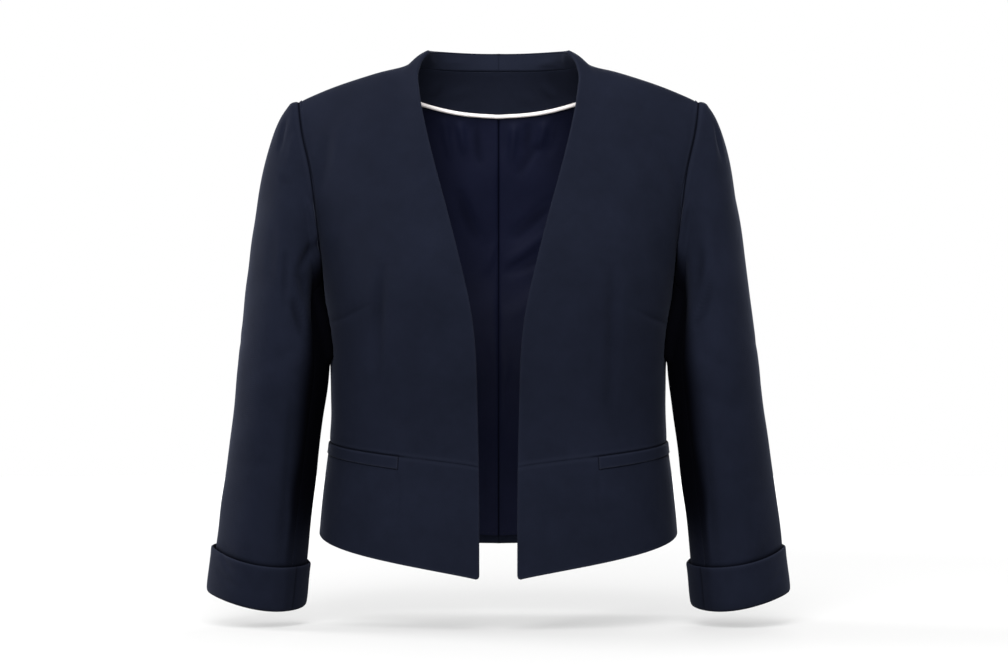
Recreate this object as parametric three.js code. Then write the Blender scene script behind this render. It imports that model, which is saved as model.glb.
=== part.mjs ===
// A cropped open-front blazer, worn shape with no wearer inside.
// Millimetres, +Z up, the front faces -Y, the wearer's left is +X.
// The origin is on the midline, at the height of the middle of the shoulders.

import * as THREE from "three";

// Cloth and seams
const clothWall = 1.8;
const facingWall = 1.2;
const liningWall = 1.0;
const pipingWall = 1.4;
const seamGap = 0.3;
const facingGap = 0.4;
const neckFacingGap = 1.2;
const liningGap = 1.3;
const pipingGap = 0.5;

// How points and slopes are found: points nearer than this are one, and slopes are taken over
// a short reach.
const samePoint = 0.005;
const shareReach = 0.0015;
const angleReach = 0.004;
const lineReach = 0.5;
const followPasses = 12;

// The body, as the jacket fills out: a rounded section at each height.
const sideSeamY = 8;
const sectionRoundness = 2.4;
const followFade = 0.4;
const neckPoint = { across: 89.5, height: 27 };
const standTop = { across: 70, height: 41 };
const shoulderTip = { across: 200, height: -11 };
const underarm = { across: 173, height: -212 };
const levelDrop = 220;

// Height of the shoulder line, and of the neck base that it rises to, by distance from the midline.
const shoulderRidge = [
  { across: 0, height: 69 },
  { across: 20, height: 67 },
  { across: 40, height: 60 },
  { across: 55, height: 51.5 },
  { across: 70, height: 41 },
  { across: 80, height: 33.4 },
  { across: 89.5, height: 27 },
  { across: 111.5, height: 20 },
  { across: 129.5, height: 14.6 },
  { across: 168.5, height: 1.6 },
  { across: 200, height: -11 },
];

// Half width of the body at each height. Above the underarm the armhole cuts it shorter.
const bodyWidths = [
  { height: 50, half: 240 },
  { height: -11, half: 228 },
  { height: -45, half: 218 },
  { height: -76, half: 208 },
  { height: -110, half: 198 },
  { height: -147, half: 187.5 },
  { height: -185, half: 178 },
  { height: -212, half: 173 },
  { height: -240, half: 170 },
  { height: -268, half: 168 },
  { height: -300, half: 167.2 },
  { height: -325, half: 167.4 },
  { height: -350, half: 168.9 },
  { height: -375, half: 171.8 },
  { height: -400, half: 175 },
  { height: -440, half: 179 },
  { height: -490, half: 182 },
];

// How far the cloth stands forward and back of the side seam, by its drop below the shoulder line.
const bodyDepths = [
  { drop: 0, front: 0, back: 0 },
  { drop: 4, front: 14, back: 13 },
  { drop: 12, front: 24.5, back: 24 },
  { drop: 25, front: 37, back: 38 },
  { drop: 45, front: 54, back: 54 },
  { drop: 80, front: 77, back: 70 },
  { drop: 120, front: 98, back: 84 },
  { drop: 160, front: 113, back: 91.5 },
  { drop: 195, front: 121, back: 93 },
  { drop: 230, front: 123, back: 89 },
  { drop: 270, front: 120, back: 82 },
  { drop: 310, front: 115, back: 77 },
  { drop: 345, front: 112, back: 76.5 },
  { drop: 380, front: 113, back: 83 },
  { drop: 430, front: 117.5, back: 97 },
  { drop: 485, front: 122, back: 109 },
];

// Fullness that the bust dart gives.
const bust = { across: 90, height: -192, rise: 5, wide: 52, tall: 62 };

// The front edge, from the top of the stand to the waist seam and the hem.
const frontEdge = [
  { height: 41, across: 70 },
  { height: 37.7, across: 75 },
  { height: 31, across: 79 },
  { height: 22, across: 81 },
  { height: 8, across: 80.3 },
  { height: -13, across: 77.2 },
  { height: -45, across: 70.5 },
  { height: -76, across: 62.6 },
  { height: -113, across: 52.5 },
  { height: -153, across: 42 },
  { height: -192, across: 32.5 },
  { height: -224, across: 26 },
  { height: -250, across: 22.8 },
  { height: -306, across: 20.4 },
  { height: -371, across: 19 },
  { height: -480, across: 18.3 },
];

// The armhole seam, from the shoulder tip to the underarm.
const armhole = [
  { height: -11, front: 200, back: 200 },
  { height: -45, front: 195, back: 195.5 },
  { height: -76, front: 187.5, back: 190 },
  { height: -110, front: 182, back: 186 },
  { height: -147, front: 178.2, back: 181.5 },
  { height: -185, front: 175, back: 176.5 },
  { height: -212, front: 173, back: 173 },
];

// Rows of the upper front and of the back: where each starts at the inner edge and ends at the side.
const frontRows = [
  { share: 0, edge: 41, side: -11 },
  { share: 0.08, edge: 24, side: -38 },
  { share: 0.2, edge: -14, side: -80 },
  { share: 0.35, edge: -80, side: -138 },
  { share: 0.55, edge: -180, side: -212 },
  { share: 0.78, edge: -278, side: -284 },
  { share: 1, edge: -373, side: -350 },
];
const backRows = [
  { share: 0, edge: 24, side: -11 },
  { share: 0.1, edge: -20, side: -50 },
  { share: 0.25, edge: -92, side: -116 },
  { share: 0.48, edge: -206, side: -212 },
  { share: 0.75, edge: -335, side: -326 },
  { share: 1, edge: -460, side: -441.5 },
];
const waistSeam = { edge: -373, side: -350, bend: 0.75 };
const frontHem = { edge: -482, side: -442, bend: 0.86 };

// Free edge of the grown-on stand, from the shoulder round to the centre back.
const standEdge = [
  { share: 0, across: 70, back: 8, height: 41 },
  { share: 0.22, across: 66.5, back: 25, height: 41.5 },
  { share: 0.42, across: 57, back: 40, height: 41.7 },
  { share: 0.62, across: 41, back: 52, height: 41.5 },
  { share: 0.82, across: 20, back: 59.5, height: 41.1 },
  { share: 1, across: 0, back: 62, height: 41 },
];

// Seam where the stand meets the back.
const neckSeam = [
  { across: 0, height: 24 },
  { across: 45, height: 24.4 },
  { across: 70, height: 25.4 },
  { across: 82, height: 26.3 },
  { across: 89.5, height: 27 },
];

// Lower edge of the back neck facing, where the piping runs.
const facingEdge = [
  { across: 0, height: -21.5 },
  { across: 40, height: -19 },
  { across: 78, height: -11.6 },
  { across: 104, height: -1.5 },
  { across: 120, height: 8 },
  { across: 130, height: 14.4 },
];
const facingEnd = 130;
const neckSteps = 8;
const facingSteps = 9;
const facingRows = 3;
const standFacingShort = 0.12;
const standGapOpens = 1 / 12;
const neckBackFaces = new THREE.Vector3(0, 0.95, 0.3);
const pipingWidth = 4;
const pipingEnd = 8 / 9;
const liningDrop = 1.2;

// Rows of the back lining, which ends above the hem and before the side seam.
const liningRows = [
  { share: 0, edge: -22.7, side: -13.5 },
  { share: 0.1, edge: -55, side: -52 },
  { share: 0.25, edge: -116, side: -118 },
  { share: 0.48, edge: -212, side: -212 },
  { share: 0.75, edge: -334, side: -322 },
  { share: 1, edge: -451.5, side: -433 },
];
const liningSideShare = 0.975;

// The pocket welts, on the band under the waist seam.
const welt = { inner: 97.5, share: 0.13, wall: 1.2 };

// Rings of a sleeve below the armhole: its outer and inner side, half depth and middle, then how far
// the ring tilts sideways, dips in front and leans its dip inwards, and how flat its front is.
const sleeveRings = [
  { z: -245, outer: 255.3, inner: 169, half: 61, mid: -13, tilt: 0.05, dip: 0.02, lean: 0, pinch: 1 },
  { z: -270, outer: 257.9, inner: 168, half: 59, mid: -18, tilt: 0.08, dip: 0.04, lean: 0, pinch: 1 },
  { z: -300, outer: 260.5, inner: 171, half: 56.5, mid: -20, tilt: 0.1, dip: 0.06, lean: 0, pinch: 1.05 },
  { z: -340, outer: 264.4, inner: 176.4, half: 53, mid: -22, tilt: 0.12, dip: 0.08, lean: 0, pinch: 1.1 },
  { z: -380, outer: 269.3, inner: 181.2, half: 50, mid: -24, tilt: 0.14, dip: 0.11, lean: 0, pinch: 1.2 },
  { z: -420, outer: 275, inner: 186, half: 47, mid: -26, tilt: 0.16, dip: 0.15, lean: 0, pinch: 1.3 },
  { z: -460, outer: 280, inner: 189.7, half: 45, mid: -28, tilt: 0.175, dip: 0.17, lean: 0, pinch: 1.4 },
  { z: -507, outer: 285.3, inner: 195, half: 43.5, mid: -29, tilt: 0.145, dip: 0.15, lean: 0.4, pinch: 1.4 },
];
const sleeveTop = -245;
const sleeveEnd = -501.2;
const sleeveSeams = { front: 137, back: 232, halfGap: 0.2 };
const sleeveSetOff = 0.5;
const sleeveColumns = { top: 18, under: 8 };
const sleeveRows = { head: 9, tube: 10 };

// How a sleeve leaves the armhole, by the angle from its top: direction, reach there and reach below.
const sleeveHead = [
  { angle: 0, x: 1, y: 0, z: -0.2, start: 29, end: 94 },
  { angle: 45, x: 0.9, y: -0.32, z: -0.4, start: 32, end: 80 },
  { angle: 90, x: 0.72, y: -0.45, z: -0.6, start: 34, end: 62 },
  { angle: 135, x: 0.42, y: -0.42, z: -0.85, start: 20, end: 30 },
  { angle: 180, x: 0.06, y: 0, z: -1, start: 8, end: 10 },
];

// Turn-back cuff: how far it stands off the sleeve at each height above its fold.
const cuffSection = [
  { rise: 2.2, off: -0.4 },
  { rise: 0.4, off: 1.0 },
  { rise: 0.7, off: 2.8 },
  { rise: 3.2, off: 3.9 },
  { rise: 22, off: 3.5 },
  { rise: 43.5, off: 3.0 },
];
const cuffFold = -506.7;
const cuffWall = 1.5;
const cuffColumns = 28;

const navy = { color: 0x1f2332, roughness: 0.86, metalness: 0 };
const liningBlue = { color: 0x14172e, roughness: 0.42, metalness: 0 };
const ivory = { color: 0xece6da, roughness: 0.5, metalness: 0 };

// A smooth curve through two columns of a table, as a natural cubic spline.
function smooth(rows, key, value) {
  const at = rows.map((row) => row[key]);
  const is = rows.map((row) => row[value]);
  const step = at[at.length - 1] > at[0] ? 1 : -1;
  const x = step > 0 ? at : at.toReversed();
  const y = step > 0 ? is : is.toReversed();
  const last = x.length - 1;
  const bend = new Array(x.length).fill(0);
  const carry = new Array(x.length).fill(0);
  for (let i = 1; i < last; i += 1) {
    const before = x[i] - x[i - 1];
    const after = x[i + 1] - x[i];
    const ratio = before / (before + after);
    const pivot = ratio * bend[i - 1] + 2;
    const turn = (y[i + 1] - y[i]) / after - (y[i] - y[i - 1]) / before;
    bend[i] = (ratio - 1) / pivot;
    carry[i] = ((6 * turn) / (before + after) - ratio * carry[i - 1]) / pivot;
  }
  for (let i = last - 1; i > 0; i -= 1) {
    bend[i] = bend[i] * bend[i + 1] + carry[i];
  }
  bend[0] = 0;
  return (wanted) => {
    const t = THREE.MathUtils.clamp(wanted, x[0], x[last]);
    let i = 0;
    while (i < last - 1 && t > x[i + 1]) i += 1;
    const span = x[i + 1] - x[i];
    const a = (x[i + 1] - t) / span;
    const b = 1 - a;
    const curl = ((a ** 3 - a) * bend[i] + (b ** 3 - b) * bend[i + 1]) * (span ** 2 / 6);
    return a * y[i] + b * y[i + 1] + curl;
  };
}

const ridgeHeight = smooth(shoulderRidge, "across", "height");
const halfWidth = smooth(bodyWidths, "height", "half");
const edgeAcross = smooth(frontEdge, "height", "across");
const neckHeight = smooth(neckSeam, "across", "height");
const facingHeight = smooth(facingEdge, "across", "height");
const rootedDepths = bodyDepths.map((row) => ({ ...row, root: Math.sqrt(row.drop) }));

// The front and back of the body: which way each faces, its depth and its armhole.
const faces = {
  front: {
    way: -1,
    depth: smooth(rootedDepths, "root", "front"),
    armhole: smooth(armhole, "height", "front"),
  },
  back: {
    way: 1,
    depth: smooth(rootedDepths, "root", "back"),
    armhole: smooth(armhole, "height", "back"),
  },
};

// Drop below the shoulder line, which fades into plain height lower down.
function levelAt(across, height) {
  const drop = Math.max(ridgeHeight(across) - height, 0);
  const share = THREE.MathUtils.smootherstep(drop, 0, levelDrop);
  return Math.max(drop - ridgeHeight(across) * share, 0);
}

function sideAcross(face, height) {
  return height > underarm.height ? face.armhole(height) : halfWidth(height);
}

// A point of the body's outer skin, at an angle round its section from the midline to the side.
function skinPoint(face, angle, height) {
  const share = Math.min(Math.sin(angle), 1);
  const across = Math.max(halfWidth(height) * share, seamGap / 2);
  const round = (1 - share ** sectionRoundness) ** (1 / sectionRoundness);
  let depth = face.depth(Math.sqrt(levelAt(across, height))) * round;
  if (face === faces.front) {
    const wide = (across - bust.across) / bust.wide;
    const tall = (height - bust.height) / bust.tall;
    depth += bust.rise * Math.exp(-(wide ** 2) - tall ** 2);
  }
  depth = Math.max(depth, seamGap / 2);
  return new THREE.Vector3(across, sideSeamY + face.way * depth, height);
}

function angleAt(across, height) {
  return Math.asin(Math.min(across / halfWidth(height), 1));
}

// A point of the skin above a place in the front view, for pieces that lie on a panel.
function skinAt(face, across, height) {
  return skinPoint(face, angleAt(across, height), height);
}

// A point of a row that runs from the inner edge to the side. Its top row follows a given line.
function rowPoint(face, row, share) {
  const start = angleAt(row.edgeAcross, row.edge);
  const end = angleAt(row.sideAcross, row.side);
  const angle = THREE.MathUtils.lerp(start, end, share);
  const bent = THREE.MathUtils.lerp(row.edge, row.side, share ** row.bend);
  const passes = row.follow > 0 ? followPasses : 0;
  let height = bent;
  for (let pass = 0; pass < passes; pass += 1) {
    const across = halfWidth(height) * Math.sin(angle);
    const along = (across - row.edgeAcross) / (row.sideAcross - row.edgeAcross);
    const straight = THREE.MathUtils.lerp(row.edge, row.side, along);
    const followed = straight + (row.line(across) - row.chord(along));
    height = THREE.MathUtils.lerp(bent, followed, row.follow);
  }
  return skinPoint(face, angle, height);
}

// The rows of a panel, worked out at any share of its height.
function panelRows(face, rows, edgeOf, line, lowBend) {
  const edgeHeight = smooth(rows, "share", "edge");
  const sideHeight = smooth(rows, "share", "side");
  const first = rows[0];
  return (share) => {
    const edge = edgeHeight(share);
    const side = sideHeight(share);
    return {
      edge,
      side,
      edgeAcross: edgeOf(edge),
      sideAcross: sideAcross(face, side),
      bend: THREE.MathUtils.lerp(1, lowBend, share),
      follow: Math.max(1 - share / followFade, 0) ** 2,
      line,
      chord: (along) => THREE.MathUtils.lerp(first.edge, first.side, along),
    };
  };
}

// A grid of points and normals over a patch, given as a function of two shares.
function patchGrid(place, columns, rows, flip, fixedNormal) {
  return rows.map((v, row) =>
    columns.map((u, column) => {
      const left = place(Math.max(u - shareReach, columns[0]), v);
      const right = place(Math.min(u + shareReach, columns[columns.length - 1]), v);
      const above = place(u, Math.max(v - shareReach, rows[0]));
      const below = place(u, Math.min(v + shareReach, rows[rows.length - 1]));
      const normal = right.sub(left).cross(below.sub(above)).normalize();
      if (flip) normal.negate();
      const fixed = fixedNormal ? fixedNormal(u, v, row, column, normal) : null;
      return { point: place(u, v), normal: fixed ?? normal };
    }),
  );
}

function mirroredGrid(grid) {
  const turn = new THREE.Vector3(-1, 1, 1);
  return grid.map((row) =>
    row.map(({ point, normal }) => ({
      point: point.clone().multiply(turn),
      normal: normal.clone().multiply(turn),
    })),
  );
}

// One closed wall of cloth from patches that share their edge points.
// Its skins lie at two distances under the given surface.
function clothWallOf(grids, outside, inside) {
  const places = new Map();
  const points = [];
  const normals = [];
  const triangles = [];
  const numberOf = ({ point, normal }) => {
    const key = point.toArray().map((value) => Math.round(value / samePoint)).join(",");
    if (!places.has(key)) {
      places.set(key, points.length);
      points.push(point.clone());
      normals.push(new THREE.Vector3());
    }
    const number = places.get(key);
    normals[number].add(normal);
    return number;
  };
  const facing = ([a, b, c]) => {
    const side = points[b].clone().sub(points[a]);
    const other = points[c].clone().sub(points[a]);
    return side.cross(other).dot(normals[a]);
  };
  for (const grid of grids) {
    const numbers = grid.map((row) => row.map(numberOf));
    const made = [];
    for (let row = 0; row < numbers.length - 1; row += 1) {
      for (let column = 0; column < numbers[row].length - 1; column += 1) {
        const [a, b] = [numbers[row][column], numbers[row][column + 1]];
        const [d, c] = [numbers[row + 1][column], numbers[row + 1][column + 1]];
        const even = (row + column) % 2 === 0;
        made.push([a, b, even ? c : d], [even ? a : b, c, d]);
      }
    }
    const out = made.reduce((sum, triangle) => sum + facing(triangle), 0) > 0;
    const whole = made.filter(([a, b, c]) => a !== b && b !== c && a !== c);
    triangles.push(...whole.map(([a, b, c]) => (out ? [a, b, c] : [a, c, b])));
  }
  return closeWall(points, normals, triangles, outside, inside);
}

// Skins on both sides of a sheet of triangles, joined round its open edges.
function closeWall(points, normals, triangles, outside, inside) {
  const count = points.length;
  const positions = [];
  for (const distance of [outside, inside]) {
    points.forEach((point, number) => {
      const at = point.clone().addScaledVector(normals[number].clone().normalize(), -distance);
      positions.push(at.x, at.y, at.z);
    });
  }
  const index = [];
  const edges = new Map();
  for (const [a, b, c] of triangles) {
    index.push(a, b, c, a + count, c + count, b + count);
    for (const [from, to] of [[a, b], [b, c], [c, a]]) {
      if (edges.has(`${to},${from}`)) edges.delete(`${to},${from}`);
      else edges.set(`${from},${to}`, [from, to]);
    }
  }
  for (const [from, to] of edges.values()) {
    index.push(from, from + count, to, to, from + count, to + count);
  }
  const geometry = new THREE.BufferGeometry();
  geometry.setAttribute("position", new THREE.Float32BufferAttribute(positions, 3));
  geometry.setIndex(index);
  return geometry;
}

// Evenly spaced shares, with chosen ones among them.
function shares(...stops) {
  const list = [stops[0].at];
  for (let i = 1; i < stops.length; i += 1) {
    const from = stops[i - 1].at;
    for (let k = 1; k <= stops[i].steps; k += 1) {
      list.push(from + ((stops[i].at - from) * k) / stops[i].steps);
    }
  }
  return list;
}

// Shares that crowd towards the shoulder line, where the cloth turns over it, and are even below.
function turningShares(turn, ...stops) {
  const crowded = shares({ at: 0 }, { at: 1, steps: turn.steps }).map((share) => turn.at * share ** 2);
  return [...crowded, ...shares({ at: turn.at }, ...stops).slice(1)];
}

const frontRow = panelRows(faces.front, frontRows, edgeAcross, ridgeHeight, waistSeam.bend);
const backTop = (across) => (across < neckPoint.across ? neckHeight(across) : ridgeHeight(across));
const backRow = panelRows(faces.back, backRows, () => 0, backTop, 1);

// The share along a row where a place across the body lies.
function shareAcross(row, across, height) {
  const start = angleAt(row.edgeAcross, row.edge);
  const end = angleAt(row.sideAcross, row.side);
  return (angleAt(across, height) - start) / (end - start);
}

const frontNeckShare = shareAcross(frontRow(0), neckPoint.across, neckPoint.height);
const backNeckShare = shareAcross(backRow(0), neckPoint.across, neckPoint.height);
const weltShare = shareAcross(frontRow(1), welt.inner, waistSeam.edge);

// The normal of the shoulder line, which the pieces on both sides of its seam share.
function ridgeNormal(across) {
  const slope = ridgeHeight(across + lineReach) - ridgeHeight(across - lineReach);
  return new THREE.Vector3(-slope, 0, 2 * lineReach).normalize();
}

// The normal of the back's top line: the shoulder seam, and the neck seam that it shares with the stand.
function topNormal(across) {
  const share = Math.min(across / neckPoint.across, 1) ** 2;
  const shoulder = ridgeNormal(Math.max(across, neckPoint.across));
  return neckBackFaces.clone().lerp(shoulder, share).normalize();
}

// Columns of the front and its band, which the facing and the welt take over.
const frontColumns = shares(
  { at: 0 },
  { at: frontNeckShare, steps: 3 },
  { at: weltShare, steps: 4 },
  { at: 1, steps: 8 },
);
const standColumns = 4;
const facingColumns = 7;
const weltColumn = 7;

// A point of the upper front, whose last rows rise by half a gap to leave the waist seam open.
const seamRise = 8;
function frontPoint(u, v) {
  const point = rowPoint(faces.front, frontRow(v), u);
  point.z += v ** seamRise * (seamGap / 2);
  return point;
}

function frontGrid() {
  return patchGrid(
    frontPoint,
    frontColumns,
    turningShares({ at: 0.12, steps: 5 }, { at: 0.55, steps: 8 }, { at: 1, steps: 6 }),
    true,
    (u, v) => (v === 0 ? ridgeNormal(frontPoint(u, 0).x) : null),
  );
}

// The band under the waist seam.
function bandPoint(u, v) {
  const edge = THREE.MathUtils.lerp(waistSeam.edge - seamGap / 2, frontHem.edge, v);
  const side = THREE.MathUtils.lerp(waistSeam.side - seamGap / 2, frontHem.side, v);
  return rowPoint(faces.front, {
    edge,
    side,
    edgeAcross: edgeAcross(edge),
    sideAcross: halfWidth(side),
    bend: THREE.MathUtils.lerp(waistSeam.bend, frontHem.bend, v),
    follow: 0,
  }, u);
}

function bandGrid() {
  return patchGrid(
    bandPoint,
    frontColumns,
    shares({ at: 0 }, { at: welt.share, steps: 1 }, { at: 1, steps: 4 }),
    true,
  );
}

// The grown-on stand, from the shoulder to the centre back, between its free edge and its seam.
const standAcross = smooth(standEdge, "share", "across");
const standBack = smooth(standEdge, "share", "back");
const standHeight = smooth(standEdge, "share", "height");

function neckSeamPoint(share) {
  return rowPoint(faces.back, backRow(0), (1 - share) * backNeckShare);
}

function standGrid(short) {
  const shoulder = frontColumns.slice(0, standColumns).map((u) => frontPoint(u, 0));
  const place = (u, share) => {
    const column = u * (standColumns - 1);
    const low = Math.min(Math.floor(column), standColumns - 2);
    const onShoulder = shoulder[low].clone().lerp(shoulder[low + 1], column - low);
    if (share <= 0) return onShoulder;
    const opened = Math.min(share / standGapOpens, 1);
    const across = Math.max(standAcross(share), seamGap / 2);
    const top = new THREE.Vector3(across, standBack(share), standHeight(share));
    const seam = neckSeamPoint(share);
    const up = top.clone().sub(seam).normalize();
    seam.addScaledVector(up, seamGap * opened);
    const straight = shoulder[0].clone().lerp(shoulder[standColumns - 1], u);
    const sag = onShoulder.sub(straight).multiplyScalar((1 - share) ** 2);
    return top.lerp(seam, u * (1 - short * opened)).add(sag);
  };
  return patchGrid(
    place,
    shares({ at: 0 }, { at: 1, steps: standColumns - 1 }),
    shares({ at: 0 }, { at: 1, steps: neckSteps }),
    false,
    (u, share, row, column, own) => {
      if (row === 0) return ridgeNormal(shoulder[column].x);
      if (u === 1) return topNormal(place(1, share).x);
      return share === 1 ? own.setX(0).normalize() : null;
    },
  );
}

// The facing lies behind the front edge and the stand, made from their points.
function facingGrids() {
  const rows = [...frontGrid(), ...bandGrid().slice(1)];
  return [rows.map((row) => row.slice(0, facingColumns)), standGrid(standFacingShort)];
}

function weltGrid() {
  return bandGrid().slice(0, 2).map((row) => row.slice(weltColumn));
}

function backPoint(u, v) {
  return rowPoint(faces.back, backRow(v), u);
}

function backGrid() {
  return patchGrid(
    backPoint,
    shares({ at: 0 }, { at: backNeckShare, steps: neckSteps }, { at: 1, steps: 8 }),
    turningShares({ at: 0.1, steps: 5 }, { at: 0.48, steps: 7 }, { at: 1, steps: 8 }),
    false,
    (u, v) => (v === 0 ? topNormal(backPoint(u, 0).x) : null),
  );
}

// Back neck facing, from the midline to the shoulder seam.
function neckFacingPoint(u, v) {
  const turn = (u * Math.PI) / 2;
  const topAcross = neckPoint.across * Math.sin(turn);
  const lowAcross = facingEnd * Math.sin(turn);
  const across = THREE.MathUtils.lerp(topAcross, lowAcross, v);
  const top = neckHeight(topAcross) - seamGap;
  const height = THREE.MathUtils.lerp(top, facingHeight(lowAcross), v);
  const point = skinAt(faces.back, across, Math.min(height, ridgeHeight(across)));
  if (u <= 0) point.x = 0;
  return point;
}

function neckFacingGrid() {
  return patchGrid(
    neckFacingPoint,
    shares({ at: 0 }, { at: 1, steps: facingSteps }),
    shares({ at: 0 }, { at: 1, steps: facingRows }),
    false,
    (u, v, row, column, own) => {
      if (u === 1) return ridgeNormal(neckFacingPoint(u, v).x);
      return u === 0 ? own.setX(0).normalize() : null;
    },
  );
}

// Piping along the lower edge of the back neck facing.
function pipingPoint(u, v) {
  const across = facingEnd * Math.sin((u * Math.PI) / 2);
  const rise = facingHeight(across + lineReach) - facingHeight(Math.max(across - lineReach, 0));
  const slope = Math.atan(rise / (2 * lineReach));
  const off = (0.5 - v) * pipingWidth;
  const point = skinAt(
    faces.back,
    Math.max(across - off * Math.sin(slope), 0),
    facingHeight(across) + off * Math.cos(slope),
  );
  if (u <= 0) point.x = 0;
  return point;
}

function pipingGrid() {
  return patchGrid(
    pipingPoint,
    shares({ at: 0 }, { at: pipingEnd, steps: facingSteps - 1 }),
    shares({ at: 0 }, { at: 1, steps: 2 }),
    false,
    (u, v, row, column, own) => (u === 0 ? own.setX(0).normalize() : null),
  );
}

// Back lining, from the facing's lower edge down to above the hem.
function liningTop(across) {
  return across < facingEnd ? facingHeight(across) - liningDrop : ridgeHeight(across) - liningDrop;
}
const liningRow = panelRows(faces.back, liningRows, () => 0, liningTop, 1);

function liningPoint(u, v) {
  return rowPoint(faces.back, liningRow(v), u * liningSideShare);
}

function liningGrid() {
  const top = liningRow(0);
  const columns = shares({ at: 0 }, { at: 1, steps: facingSteps }).map((u) => {
    const across = facingEnd * Math.sin((u * Math.PI) / 2);
    return shareAcross(top, across, liningTop(across - 0.01)) / liningSideShare;
  });
  return patchGrid(
    liningPoint,
    [...columns, ...shares({ at: columns[facingSteps] }, { at: 1, steps: 4 }).slice(1)],
    shares({ at: 0 }, { at: 0.1, steps: 2 }, { at: 0.48, steps: 4 }, { at: 1, steps: 6 }),
    false,
  );
}

const ringOuter = smooth(sleeveRings, "z", "outer");
const ringInner = smooth(sleeveRings, "z", "inner");
const ringHalf = smooth(sleeveRings, "z", "half");
const ringMiddle = smooth(sleeveRings, "z", "mid");
const ringTilt = smooth(sleeveRings, "z", "tilt");
const ringDip = smooth(sleeveRings, "z", "dip");
const ringLean = smooth(sleeveRings, "z", "lean");
const ringPinch = smooth(sleeveRings, "z", "pinch");

// A point of the sleeve tube: the angle runs from its outer side by the front to its inner side.
function tubePoint(angle, height, off = 0) {
  const turn = THREE.MathUtils.degToRad(angle);
  const wide = (ringOuter(height) - ringInner(height)) / 2 + off;
  const middle = (ringOuter(height) + ringInner(height)) / 2;
  const dx = wide * Math.cos(turn);
  const round = Math.abs(Math.sin(turn)) ** ringPinch(height);
  const dy = -(ringHalf(height) + off) * Math.sign(Math.sin(turn)) * round;
  const leant = 1 - ringLean(height) * Math.cos(turn);
  const rise = dx * ringTilt(height) + dy * ringDip(height) * leant;
  return new THREE.Vector3(middle + dx, ringMiddle(height) + dy, height + rise);
}

// Where an angle round the sleeve meets the armhole seam: on the front or the back, and how high.
function armholePlace(angle) {
  const turned = THREE.MathUtils.euclideanModulo(angle, 360);
  const fall = (shoulderTip.height - underarm.height) / 2;
  const height = shoulderTip.height - fall * (1 - Math.cos(THREE.MathUtils.degToRad(turned)));
  return { face: turned <= 180 ? faces.front : faces.back, height };
}

// A point of the armhole seam and the body's normal there.
function armholePoint(angle) {
  const { face, height } = armholePlace(angle);
  return skinAt(face, sideAcross(face, height), height);
}

function armholeNormal(angle) {
  const { face, height } = armholePlace(angle);
  const end = angleAt(sideAcross(face, height), height);
  const near = skinPoint(face, end - angleReach, height);
  const here = skinPoint(face, end, height);
  const low = skinAt(face, here.x, height - lineReach);
  const normal = here.clone().sub(near).cross(low.sub(here)).normalize();
  return normal.x < 0 ? normal.negate() : normal;
}

const headDirections = ["x", "y", "z", "start", "end"].map((name) => smooth(sleeveHead, "angle", name));

// The sleeve's skin: v from 0 to 1 is the head, from the armhole to the first ring, and above 1 the tube.
function sleevePoint(angle, v) {
  if (v >= 1) {
    const height = THREE.MathUtils.lerp(sleeveTop, sleeveEnd, v - 1);
    return tubePoint(angle, height);
  }
  const turned = THREE.MathUtils.euclideanModulo(angle, 360);
  const folded = turned <= 180 ? turned : 360 - turned;
  const [x, y, z, startReach, endReach] = headDirections.map((of) => of(folded));
  const way = new THREE.Vector3(x, turned <= 180 ? y : -y, z).normalize();
  const apart = way.clone().add(new THREE.Vector3(1, 0, 0)).normalize();
  const start = armholePoint(angle).addScaledVector(apart, sleeveSetOff);
  const end = tubePoint(angle, sleeveTop);
  const down = tubePoint(angle, sleeveTop - lineReach).sub(end).normalize();
  return new THREE.CubicBezierCurve3(
    start,
    start.clone().addScaledVector(way, startReach),
    end.clone().addScaledVector(down, -endReach),
    end,
  ).getPoint(v);
}

function sleeveGrid(from, to, columnCount) {
  const angleOf = (u) => THREE.MathUtils.lerp(from + sleeveSeams.halfGap, to - sleeveSeams.halfGap, u);
  return patchGrid(
    (u, v) => sleevePoint(angleOf(u), v),
    shares({ at: 0 }, { at: 1, steps: columnCount }),
    shares({ at: 0 }, { at: 1, steps: sleeveRows.head }, { at: 2, steps: sleeveRows.tube }),
    false,
    (u, v, row, column, own) => {
      if (row > 0) return null;
      const share = (1 + Math.cos(THREE.MathUtils.degToRad(angleOf(u)))) / 2;
      return own.lerp(armholeNormal(angleOf(u)), share).normalize();
    },
  );
}

// Turn-back cuff, a folded band all round the end of the sleeve.
const cuffTable = cuffSection.map((row, number) => ({ ...row, number }));
const cuffRise = smooth(cuffTable, "number", "rise");
const cuffOff = smooth(cuffTable, "number", "off");
const cuffLast = cuffSection.length - 1;
const cuffBend = 3;

function cuffPoint(u, v) {
  return tubePoint(u * 360, cuffFold + cuffRise(v), cuffOff(v));
}

function cuffGrid() {
  return patchGrid(
    cuffPoint,
    shares({ at: 0 }, { at: 1, steps: cuffColumns }),
    shares({ at: 0 }, { at: cuffBend, steps: 3 }, { at: cuffLast, steps: 3 }),
    false,
    (u, v) => {
      const around = cuffPoint(u + angleReach, v).sub(cuffPoint(u - angleReach, v));
      const low = cuffPoint(u, Math.max(v - angleReach, 0));
      const up = cuffPoint(u, Math.min(v + angleReach, cuffLast)).sub(low);
      return up.cross(around).normalize();
    },
  );
}

function mesh(name, grids, outside, inside, finish) {
  const made = new THREE.Mesh(
    clothWallOf(grids, outside, inside),
    new THREE.MeshStandardMaterial(finish),
  );
  made.name = name;
  return made;
}

// Both copies of a piece, the wearer's left as made and the right mirrored.
function pair(name, grids, outside, inside, finish) {
  return [
    mesh(`${name}_left`, grids, outside, inside, finish),
    mesh(`${name}_right`, grids.map(mirroredGrid), outside, inside, finish),
  ];
}

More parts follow.
